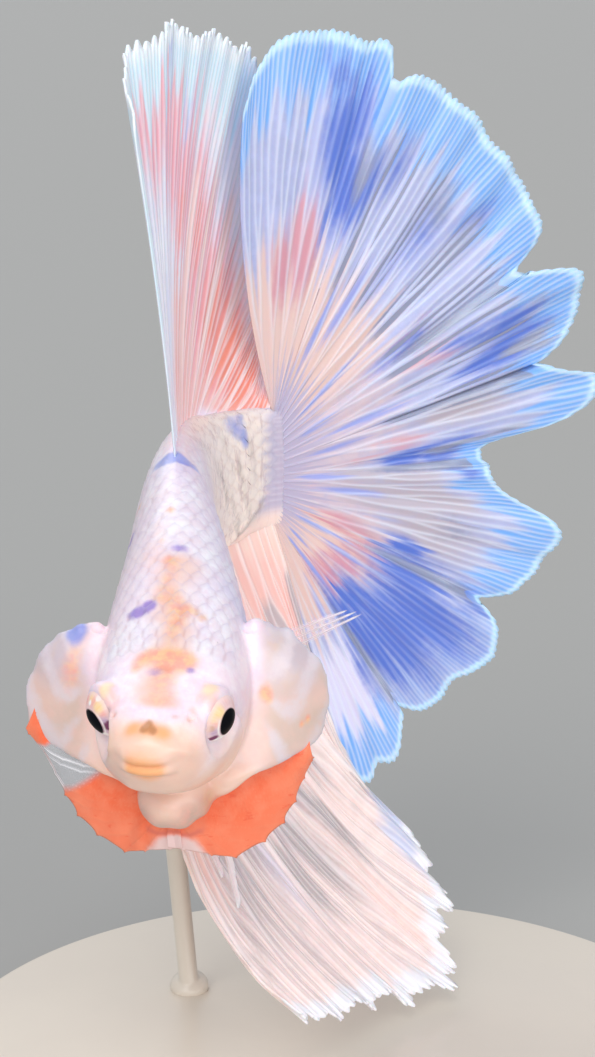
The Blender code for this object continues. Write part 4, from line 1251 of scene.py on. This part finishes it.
def tail_masks(sweep, across, far, rays, gap):
    """The tail's colours by place: spots, and smooth bands out from the root that vary with the sweep."""
    first, span = sweep[0], sweep[-1] - sweep[0]
    degrees = across * span + first
    jitter = 0.05 * np.sin(2 * math.pi * 37 * across) + 0.03 * np.sin(2 * math.pi * 83 * across)
    masks = {}
    for key, spots in TAIL_SPOTS.items():
        places = [((at - first) / span, out, wide / span, tall, most) for at, out, wide, tall, most in spots]
        masks[key] = patches(across, far, places, TAIL_TIPS, 11)
    masks["violet"] = masks["violet"] * ease((far - 0.02) / 0.1)
    # Clear folds between the rays of the upper lobes, and clear edges beside the gaps between lobes.
    waves = np.sin(2 * math.pi * 23 * across + 2 * np.sin(31 * across))
    fold = ease((0.25 - rays) / 0.2) * ease((waves + 0.2) / 0.8)
    fold = fold * ease((far - 0.3) / 0.15) * ease((0.9 - far) / 0.1)
    fold = fold * ease((degrees - 22) / 4) * ease((80 - degrees) / 4)
    gap = gap[:, None] * ease((far - 0.3) / 0.3) * (far < 0.93) * (degrees > 30)
    masks["window"] = np.maximum(np.maximum(masks["window"], 0.7 * gap), 0.8 * fold)
    warm = np.interp(degrees, [0, 45, 60, 108, 116, 160], [1, 0.95, 0.55, 0.5, 1, 1])
    masks["peach"] = warm * ease((0.56 - far + jitter) / 0.26)
    dusky = np.interp(degrees, [-6, 6, 20, 115, 140, 160], [0.2, 0.4, 1, 1, 0.5, 0.1])
    masks["base"] = ease((0.19 - far + jitter) / 0.12) * dusky
    bright = np.interp(degrees, [110, 121, 147, 151], [1, 0.45, 0.4, 0.9])
    masks["edge"] = ease((far - 0.74 + jitter) / 0.16) * bright
    masks["pale"] = ease((degrees - 148) / 3) * ease((far - 0.4 + jitter) / 0.2)
    masks["rim"] = ease((far - 0.955) / 0.03)
    masks["ray"] = rays * (1 - 0.7 * masks["base"]) * (1 - 0.8 * masks["blue"])
    masks["ray"] = masks["ray"] * (0.25 + 0.75 * ease((far - 0.08) / 0.35))
    return masks


def tail_fin():
    """Points, ray mask and masks of the tail fin, over sweep and the distance out. Its rays start round the
    end of the stalk and are pleated by three waves: between the rays, from lobe to lobe and a slow roll."""
    ends = [(lobe[0][0], lobe[-1][0]) for lobe in TAIL_LOBES]
    sweep = np.concatenate([np.linspace(first, last, round((last - first) * 4.6)) for first, last in ends])
    length, lean, gap = tail_lengths(sweep)
    u = (sweep - sweep[0]) / (sweep[-1] - sweep[0])
    turn = np.radians(90 - 180 * u)
    root = (BODY_LENGTH + 0.3 + 0.6 * np.cos(turn), 0 * turn, TAIL_ROOT_HALF * np.sin(turn))
    forward = -0.045 * np.exp((sweep[0] - sweep) / 12)
    v = np.linspace(-0.07, 1, 64)
    points = spread(root, (sweep, 0 * turn), length, v, (forward, 0 * turn))
    points += (lean[:, None] * v[None] ** 2)[..., None] * TAIL_RIPPLE * along(2, np.array(BODY_LENGTH))
    points = stretched(points, frayed(u, TAIL_TIPS, 3, 0.008, 0.013))
    across, far = np.meshgrid(u, np.clip(v, 0, 1), indexing="ij")
    sway = across + (0.0016 * np.sin(7 * far + 55 * across) + 0.0006 * np.sin(23 * far + 90 * across)) * far
    rays = ray_mask(sway, far, TAIL_RAYS, (0.14, 0.40, 0.70), 0.13)
    wave = 0.055 * far**1.3 * np.sin(2 * math.pi * 41 * sway)
    wave += 0.16 * far * np.sin(2 * math.pi * 17 * across + 1.3)
    wave += 0.10 * far**2 * np.sin(40 * across) * np.sin(9 * far + 30 * across)
    return pleated(points, wave), rays, tail_masks(sweep, across, far, rays, gap)


tail_paint = fin_material(
    "blue_white_fin", (0.40, 0.45, 0.70),
    [
        ("pale", (0.70, 0.70, 0.92), 0.4),
        ("peach", (0.76, 0.55, 0.51), 0.45),
        ("base", (0.48, 0.44, 0.60), 0.45),
        ("pink", (0.64, 0.30, 0.37), 0.35),
        ("grey", (0.46, 0.42, 0.50), 0.35),
        ("violet", (0.30, 0.36, 0.74), 0.35),
        ("edge", (0.16, 0.42, 0.90), 0.4),
        ("blue", (0.08, 0.17, 0.62), 0.35),
        ("window", (0.30, 0.34, 0.50), 0.35),
        ("rim", (0.46, 0.74, 1.0), 0.45),
    ],
    clear=0.35, ray=(0.76, 0.82, 0.94),
)
points, rays, masks = tail_fin()
fin_piece("tail", points, rays, tail_paint, masks, "tail_fin", rib=0.04, stout=1.2)

# Dorsal fin: place along its base, then x, y and z of its edge from the snout.
DORSAL_EDGE = [
    (0.0, -1.4, 19.0, 38.4),
    (0.06, -2.2, 20.7, 41.5),
    (0.14, -1.7, 23.2, 43.6),
    (0.2, -0.2, 25.2, 44.2),
    (0.26, 0.2, 26.8, 45.1),
    (0.4, 1.9, 30.4, 44.5),
    (0.54, 3.4, 34.4, 43.9),
    (0.66, 5.0, 38.0, 43.1),
    (0.8, 5.9, 42.5, 41.7),
    (0.9, 7.0, 47.0, 36.7),
    (1.0, 7.9, 48.0, 28.7),
    (1.12, 7.2, 45.8, 24.6),
    (1.25, 6.9, 43.8, 21.2),
    (1.4, 6.75, 41.5, 19.5),
    (1.5, 7.1, 40.75, 20.6),
]
# Its root's stations, by place along the base.
DORSAL_BASE = [(0, 28.5), (1, 38.0), (1.5, 45.0)]
DORSAL_RAYS = 14
# Spots on the dorsal fin: (place along the base, share of the way out, reach both ways, strength).
DORSAL_RED = [
    (1.02, 0.40, 0.13, 0.2, 0.9), (1.2, 0.42, 0.14, 0.3, 1), (0.86, 0.38, 0.08, 0.16, 0.7),
    (1.4, 0.35, 0.1, 0.3, 0.9), (0.52, 0.30, 0.05, 0.2, 0.45), (0.45, 0.55, 0.06, 0.12, 0.5),
    (0.62, 0.52, 0.05, 0.12, 0.55),
]
DORSAL_BLUE = [
    (0.3, 0.9, 0.03, 0.05, 0.7), (0.1, 0.8, 0.02, 0.08, 0.7), (0.42, 0.84, 0.03, 0.07, 0.6),
    (0.24, 0.35, 0.04, 0.2, 0.4),
]
# The pink band slants across the dorsal fin: (place along the base, its share of the way out).
DORSAL_BAND = [(0.06, 0.98), (0.2, 0.86), (0.3, 0.78), (0.4, 0.70), (0.6, 0.56), (0.75, 0.44), (1.0, 0.40)]


def back_and_belly(station):
    """Height of the back and depth of the belly at a station."""
    size = through(SECTIONS, np.clip(station, 0, BODY_LENGTH))
    return size[..., 1], size[..., 2]


def dorsal_fin():
    """Points, ray mask and masks of the dorsal fin, over its place along the base and the distance out. Its
    place runs to 1 along the back and on to 1.5 over rays that leave the root's rear end."""
    u, v = np.linspace(0, 1.5, 560), np.linspace(0, 1, 60)
    base = np.interp(u, *np.array(DORSAL_BASE).T)
    root = (base, 0 * u, back_and_belly(base)[0] - INTO_SKIN)
    points = draped(root, (-4 + 60 * u, -3 - 3 * u), through(DORSAL_EDGE, u), v, 0.45 + 0 * u)
    points = stretched(points, frayed(np.minimum(u, 0.999), 48, 5, 0.012, 0.03))
    across, far = np.meshgrid(u, v, indexing="ij")
    sway = across + (0.004 * np.sin(6 * far + 21 * across) + 0.0015 * np.sin(19 * far + 40 * across)) * far
    rays = ray_mask(sway, far, DORSAL_RAYS, (0.10, 0.36, 0.72), 0.15)
    wave = 0.12 * far**1.2 * np.sin(2 * math.pi * DORSAL_RAYS * sway)
    wave += 0.22 * far * np.sin(2 * math.pi * 5 * across)
    jitter = 0.05 * np.sin(2 * math.pi * 31 * across) + 0.04 * np.sin(2 * math.pi * 13 * across)
    slant = np.interp(across, *np.array(DORSAL_BAND).T)
    streak = ease((np.sin(2 * math.pi * 9 * across + 2.2 * np.sin(5 * across)) - 0.5) / 0.3)
    front = ease((0.05 - across) / 0.03) * ease((far - 0.3) / 0.3)
    masks = {
        "salmon": ease((across - 0.30) / 0.14) * ease((0.60 - far + jitter) / 0.25) * 0.9,
        "pink": hump(far - slant + jitter, 0.21) * ease((across - 0.05) / 0.06) * ease((1.2 - across) / 0.1),
        "red": patches(across, far, DORSAL_RED, 56, 8),
        "streak": streak * ease((across - 0.4) / 0.2) * ease((0.8 - far) / 0.2),
        "lilac": ease((0.16 - far) / 0.12) * ease((across - 0.85) / 0.15) * ease((1.3 - across) / 0.1),
        "edge": np.maximum(ease((far - 0.80 + jitter) / 0.12), front),
        "blue": patches(across, far, DORSAL_BLUE, 56, 10),
        "rim": np.maximum(ease((far - 0.95) / 0.03), 0.6 * ease((0.03 - across) / 0.02)),
        "ray": rays,
    }
    return pleated(points, wave), rays, masks


dorsal_paint = fin_material(
    "rose_fin", (0.78, 0.80, 0.95),
    [
        ("salmon", (0.95, 0.56, 0.54), 0.45),
        ("pink", (0.92, 0.42, 0.50), 0.4),
        ("red", (0.93, 0.30, 0.22), 0.4),
        ("streak", (0.96, 0.66, 0.64), 0.4),
        ("lilac", (0.92, 0.76, 0.88), 0.4),
        ("edge", (0.62, 0.86, 1.0), 0.4),
        ("blue", (0.46, 0.58, 0.90), 0.35),
        ("rim", (0.80, 0.92, 1.0), 0.45),
    ],
    ray=(0.98, 0.90, 0.96),
)
points, rays, masks = dorsal_fin()
fin_piece("dorsal", points, rays, dorsal_paint, masks, "dorsal_fin")

# Anal fin: place along its base, then x, y and z of its edge from the snout.
ANAL_EDGE = [
    (0.0, 9.4, 20.0, -24.1),
    (0.06, 10.5, 21.2, -24.9),
    (0.12, 11.4, 22.5, -25.6),
    (0.18, 12.5, 24.0, -25.3),
    (0.26, 13.6, 26.0, -26.0),
    (0.34, 15.1, 28.0, -26.6),
    (0.44, 17.3, 30.7, -27.4),
    (0.53, 19.8, 33.2, -27.8),
    (0.58, 20.8, 34.5, -27.6),
    (0.63, 20.7, 35.8, -26.0),
    (0.68, 20.7, 37.0, -24.4),
    (0.73, 21.0, 38.3, -23.1),
    (0.77, 21.0, 39.3, -22.3),
    (0.8, 20.2, 40.0, -21.8),
    (0.825, 19.2, 40.5, -21.5),
    (0.85, 19.6, 41.0, -20.6),
    (0.88, 19.4, 41.5, -19.4),
    (0.905, 18.6, 41.8, -18.5),
    (0.93, 17.3, 42.1, -18.2),
    (0.955, 16.1, 42.3, -17.9),
    (0.98, 15.4, 42.4, -16.8),
    (1.02, 14.8, 42.6, -15.1),
    (1.07, 13.4, 42.6, -13.5),
    (1.12, 11.9, 42.2, -11.9),
]
# Its root's stations, by place along the base.
ANAL_BASE = [(0, 15.0), (1, 43.5), (1.12, 45.4)]
ANAL_RAYS, BOLD_RAYS = 24, 7
# Spots on the anal fin: (place along the base, share of the way out, reach both ways, strength).
ANAL_SPOTS = {
    "pink": [
        (0.93, 0.2, 0.06, 0.14, 1), (1.02, 0.3, 0.08, 0.25, 0.8), (0.6, 0.34, 0.07, 0.12, 0.7),
        (0.45, 0.42, 0.05, 0.12, 0.7), (0.12, 0.45, 0.08, 0.2, 0.7), (0.74, 0.55, 0.04, 0.14, 0.4),
    ],
    "lilac": [
        (0.6, 0.15, 0.2, 0.12, 1), (0.8, 0.18, 0.12, 0.14, 1), (0.9, 0.32, 0.05, 0.1, 0.8),
        (0.42, 0.62, 0.04, 0.12, 0.9), (1.02, 0.5, 0.08, 0.2, 0.7),
    ],
    "window": [
        (0.2, 0.6, 0.05, 0.2, 0.7), (0.3, 0.6, 0.03, 0.18, 1), (0.1, 0.66, 0.03, 0.2, 0.45),
        (0.14, 0.4, 0.02, 0.14, 0.6), (0.5, 0.68, 0.025, 0.1, 1), (0.6, 0.64, 0.035, 0.14, 1),
        (0.7, 0.7, 0.03, 0.1, 1), (0.5, 0.3, 0.02, 0.1, 0.8), (0.36, 0.5, 0.02, 0.2, 0.7),
        (0.78, 0.6, 0.02, 0.1, 0.6), (0.9, 0.88, 0.02, 0.06, 0.9),
    ],
}


def anal_fin():
    """Points, ray mask and masks of the anal fin, over its place along the base and the distance out. Seven
    bold rays stand over the fine ones, each beside a groove, and its edge is cut into tufts of two sizes."""
    u, v = np.linspace(0, 1.12, 620), np.linspace(0, 1, 64)
    base = np.interp(u, *np.array(ANAL_BASE).T)
    root = (base, 0 * u, -back_and_belly(base)[1] + INTO_SKIN)
    points = draped(root, (172 - 7 * u, 5 * u - 9 * (1 - u) ** 3), through(ANAL_EDGE, u), v, 0.72 - 0.25 * u)
    ray = np.minimum(u, 0.999)
    points = stretched(points, frayed(ray, 70, 6, 0.015, 0.014) + frayed(ray, 17, 8, 0.0, 0.04) - 1)
    across, far = np.meshgrid(u, v, indexing="ij")
    sway = 0.011 * np.sin(9 * far + 26 * across) + 0.004 * np.sin(23 * far + 47 * across)
    sway = across + sway * ease(far * 2)
    rays = ray_mask(sway, far, ANAL_RAYS, (0.1, 0.5), 0.13)
    bold = np.abs((BOLD_RAYS * sway + 0.25 + 0.10 * np.sin(7 * far + 11 * across)) % 1 - 0.5)
    bold = hump(bold, 0.055) * ease((far - 0.15) / 0.2) * ease((0.92 - far) / 0.15)
    rays = np.maximum(0.8 * rays, bold)
    folds = np.sin(2 * math.pi * BOLD_RAYS * sway)
    # The groove mask paints the valley of each fold darker: painted shade.
    groove = ease((-folds - 0.25) / 0.5) * ease((far - 0.16) / 0.15) * ease((0.8 - far) / 0.3)
    wave = 0.14 * far * np.sin(2 * math.pi * ANAL_RAYS * sway + 3) + 0.42 * far**1.3 * folds
    front = ease((0.4 - across) / 0.2) * ease((0.8 - far) / 0.5)
    masks = {
        "peach": np.maximum(front, 0.6 * ease((0.3 - far) / 0.2)),
        "pink": patches(across, far, ANAL_SPOTS["pink"], 96, 21),
        "lilac": patches(across, far, ANAL_SPOTS["lilac"], 96, 25),
        "window": patches(np.clip(sway, 0, 1.1), far, ANAL_SPOTS["window"], 96, 22),
        "groove": groove * ease((across - 0.08) / 0.1) * (1 - 0.6 * bold),
        "frill": ease((across - 0.74) / 0.1) * ease((far - 0.78) / 0.12),
        "rim": ease((far - 0.93) / 0.05),
        "ray": rays,
    }
    return pleated(points, wave), rays, masks


anal_paint = fin_material(
    "white_fin", (0.84, 0.67, 0.64),
    [
        ("peach", (1.0, 0.70, 0.60), 0.45),
        ("lilac", (0.88, 0.77, 0.87), 0.4),
        ("pink", (0.92, 0.54, 0.49), 0.4),
        # Painted shade in the folds' valleys.
        ("groove", (0.56, 0.46, 0.48), 0.3),
        ("window", (0.60, 0.52, 0.53), 0.4),
        ("frill", (0.56, 0.60, 0.78), 0.4),
        ("rim", (0.84, 0.83, 0.88), 0.45),
    ],
    clear=0.45, ray=(1.0, 0.95, 0.97),
)
points, rays, masks = anal_fin()
fin_piece("anal", points, rays, anal_paint, masks, "anal_fin", 0.05, 0.09)

# The paired fins are narrow fans. The pelvic fins hang as slim blades under the chest, and the pectoral fins
# are clear: the left is spread and the right folded down. Every pair of values is for a fin's first ray and
# its last: (the root's station, left, up, then the rays' sweep and lean in degrees, and their length).
PELVIC_FINS = {
    "left": ((10.6, 11.6), (1.2, 1.2), (-5.2, -5.2), (176, 172), (9, 9), (15.2, 13.2)),
    "right": ((10.6, 11.6), (-1.2, -1.2), (-5.2, -5.2), (176, 172), (17, 17), (12.7, 10.7)),
}
PECTORAL_FINS = {
    "left": ((13.8, 13.8), (4.6, 4.6), (0.6, -1.8), (95, 82), (55, 55), (7.6, 8.3)),
    "right": ((13.8, 13.8), (-4.6, -4.6), (0.6, -1.8), (118, 150), (-16, -16), (8.6, 9.3)),
}
SMALL_FOLD = 0.1  # how far its folds stand out at its end, in millimetres


def small_fin(name, values, rays, seed, glass, tooth, paint):
    """A paired fin: a fan of rays that fork once, frayed at its end, with one fold for each ray."""
    u, v = np.linspace(0, 1, rays * 20), np.linspace(0, 1, 40)
    station, left, up, sweep, lean, length = (first + (last - first) * u for first, last in values)
    points = spread((station, left, up), (sweep, lean), length, v)
    points = stretched(points, frayed(u, rays, seed, 0.04, tooth))
    across, far = np.meshgrid(u, v, indexing="ij")
    ray = ray_mask(across, far, rays, (0.55,), 0.13)
    masks = {
        "lilac": 0.5 + 0 * far,
        "peach": 0.5 * hump(far, 0.5),
        "window": glass + 0 * far,
        "rim": 0.6 * ease((far - 0.92) / 0.06),
        "ray": ray,
    }
    points = pleated(points, SMALL_FOLD * far * np.sin(2 * math.pi * rays * across))
    fin_piece(name.replace("_fin", ""), points, ray, paint, masks, name, 0.03, 0.05)


clear_paint = fin_material(
    "clear_fin", (0.90, 0.72, 0.76),
    [
        ("lilac", (0.88, 0.76, 0.84), 0.4),
        ("peach", (0.92, 0.66, 0.62), 0.45),
        ("rim", (0.95, 0.93, 0.98), 0.45),
    ],
    clear=0.85, ray=(0.97, 0.94, 0.97),
)
for name in ("left", "right"):
    small_fin("pelvic_fin_" + name, PELVIC_FINS[name], 4, 31, 0.12, 0.12, anal_paint)
for name in ("left", "right"):
    small_fin("pectoral_fin_" + name, PECTORAL_FINS[name], 3, 32, 1.0, 0.35, clear_paint)

# ---------------------------------------------------------------- stand
# A turned base and a slim rod of satin cast acrylic hold the fish clear of the table. The rod is set in a
# collar in the base and ends against the belly.

base_low, base_high = (np.array(corner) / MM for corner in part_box("stand_base"))
BASE_EDGE = 0.6
ROD_FOOT = (-11.5, 11.0, base_high[2])
ROD_HEAD = (-13.5, 1.65, 36.4)
ROD_RADIUS, COLLAR_RADIUS = 0.75, 1.5


def turned(profile, sides):
    """(points, faces) of a profile of (radius, height) turned about Z through the origin."""
    angle = spin(sides)
    profile = np.array(profile, float)
    flat = profile[:, :1, None] * np.stack([np.cos(angle), np.sin(angle)], -1)
    height = np.broadcast_to(profile[:, 1:, None], (len(profile), sides, 1))
    return tube(np.concatenate([flat, height], -1)[:, ::-1])


def rod():
    """(points, faces) of the rod and its collar: a profile of (distance out, radius) turned round."""
    foot, head = np.array(ROD_FOOT), np.array(ROD_HEAD)
    length = np.linalg.norm(head - foot)
    axis = (head - foot) / length
    across = np.cross(axis, (0, 1, 0)) / np.linalg.norm(np.cross(axis, (0, 1, 0)))
    angle = spin(40)[:, None]
    ring = np.cos(angle) * across + np.sin(angle) * np.cross(axis, across)
    profile = [
        (-0.4, COLLAR_RADIUS), (0.5, COLLAR_RADIUS), (0.8, 1.35), (0.95, 0.95), (1.1, ROD_RADIUS),
        (length - 0.15, ROD_RADIUS), (length, 0.6), (length, 0.05),
    ]
    return tube(np.stack([foot + axis * out + ring * radius for out, radius in profile])[:, ::-1])


def rounded(radius, low, high, edge, steps=6):
    """A disc's profile from the middle of its underside to the middle of its top, with both rims rounded."""
    turn = np.linspace(0, math.pi / 2, steps)
    lower = [(radius - edge + edge * math.sin(t), low + edge - edge * math.cos(t)) for t in turn]
    upper = [(radius - edge + edge * math.cos(t), high - edge + edge * math.sin(t)) for t in turn]
    return [(0.05, low), *lower, *upper, (0.05, high)]


def acrylic():
    """Satin acrylic in a warm pale grey: faint turning marks and a slightly uneven gloss."""
    material, tree, shader = new_material("stand_acrylic", Coat_Weight=0.25)
    soft = node(tree, "MapRange", Value=noise(tree, 120, 5), To_Min=0.30, To_Max=0.45).outputs[0]
    tree.links.new(soft, shader.inputs["Roughness"])
    tint = blend(tree, noise(tree, 60, 6), (0.70, 0.63, 0.53), (0.62, 0.56, 0.49))
    tree.links.new(tint, shader.inputs["Base Color"])
    bumped(tree, shader, noise(tree, 2500, 2), 0.00002, 0.3)
    return material


stand_paint = acrylic()
disc = turned(rounded(base_high[0], base_low[2], base_high[2], BASE_EDGE), 160)
piece("base", disc, stand_paint, None, ("stand_base",))
piece("rod", rod(), stand_paint, None, ("stand_rod",))

# ---------------------------------------------------------------- room, lights and camera
# A plain pale floor under soft studio light: a broad key from the upper left, a low fill from the right,
# light that stands for what bounces up off the floor, and a glow from behind.

FLOOR = 14.0  # half its width, in metres
floor_mesh = bpy.data.meshes.new("floor")
corners = [(FLOOR * x, FLOOR * y, 0) for x, y in ((-1, -1), (1, -1), (1, 1), (-1, 1))]
floor_mesh.from_pydata(corners, [], [(0, 1, 2, 3)])
floor = bpy.data.objects.new("floor", floor_mesh)
bpy.context.scene.collection.objects.link(floor)
floor_paint, _, _ = new_material("pale_floor", Base_Color=(0.36, 0.36, 0.35, 1), Roughness=0.9)
floor_mesh.materials.append(floor_paint)

world = bpy.data.worlds.new("studio")
world.use_nodes = True
sky = world.node_tree.nodes["Background"]
sky.inputs["Color"].default_value = (0.92, 0.95, 1.0, 1)
sky.inputs["Strength"].default_value = 0.62
bpy.context.scene.world = world


def lamp(name, azimuth, elevation, power, softness, colour):
    """A far, broad studio light. azimuth turns it from the front towards the viewer's left, in degrees. One
    from below stands for light off the floor and casts no shadow."""
    light = bpy.data.lights.new(name, "SUN")
    light.angle = math.radians(softness)
    light.energy = power
    light.color = colour
    light.use_shadow = elevation > 0
    made = bpy.data.objects.new(name, light)
    made.rotation_euler = (math.radians(90 - elevation), 0, math.radians(-azimuth))
    bpy.context.scene.collection.objects.link(made)


lamp("key", 18, 44, 1.3, 40, (1.0, 0.98, 0.95))
lamp("fill", -32, 8, 1.45, 60, (0.98, 0.98, 1.0))
lamp("bounce", -5, -30, 0.82, 60, (1.0, 0.96, 0.92))
lamp("glow", 160, 45, 0.6, 40, (1.0, 1.0, 1.0))

# The camera looks down a little at a point near the middle of the fish: metres, and its rise in radians.
CAMERA_TARGET = np.array((-0.003, -0.010, 0.045))
CAMERA_RISE, CAMERA_FAR = math.radians(13.0), 0.165
camera_data = bpy.data.cameras.new("camera")
camera_data.sensor_fit = "VERTICAL"
camera_data.sensor_height = 24.0
camera_data.lens = 56.2
camera_data.clip_start = 0.01
camera = bpy.data.objects.new("camera", camera_data)
camera.location = CAMERA_TARGET + CAMERA_FAR * np.array((0, -math.cos(CAMERA_RISE), math.sin(CAMERA_RISE)))
camera.rotation_euler = (math.pi / 2 - CAMERA_RISE, 0, 0)
bpy.context.scene.collection.objects.link(camera)
bpy.context.scene.camera = camera
bpy.context.scene.view_settings.view_transform = "Standard"
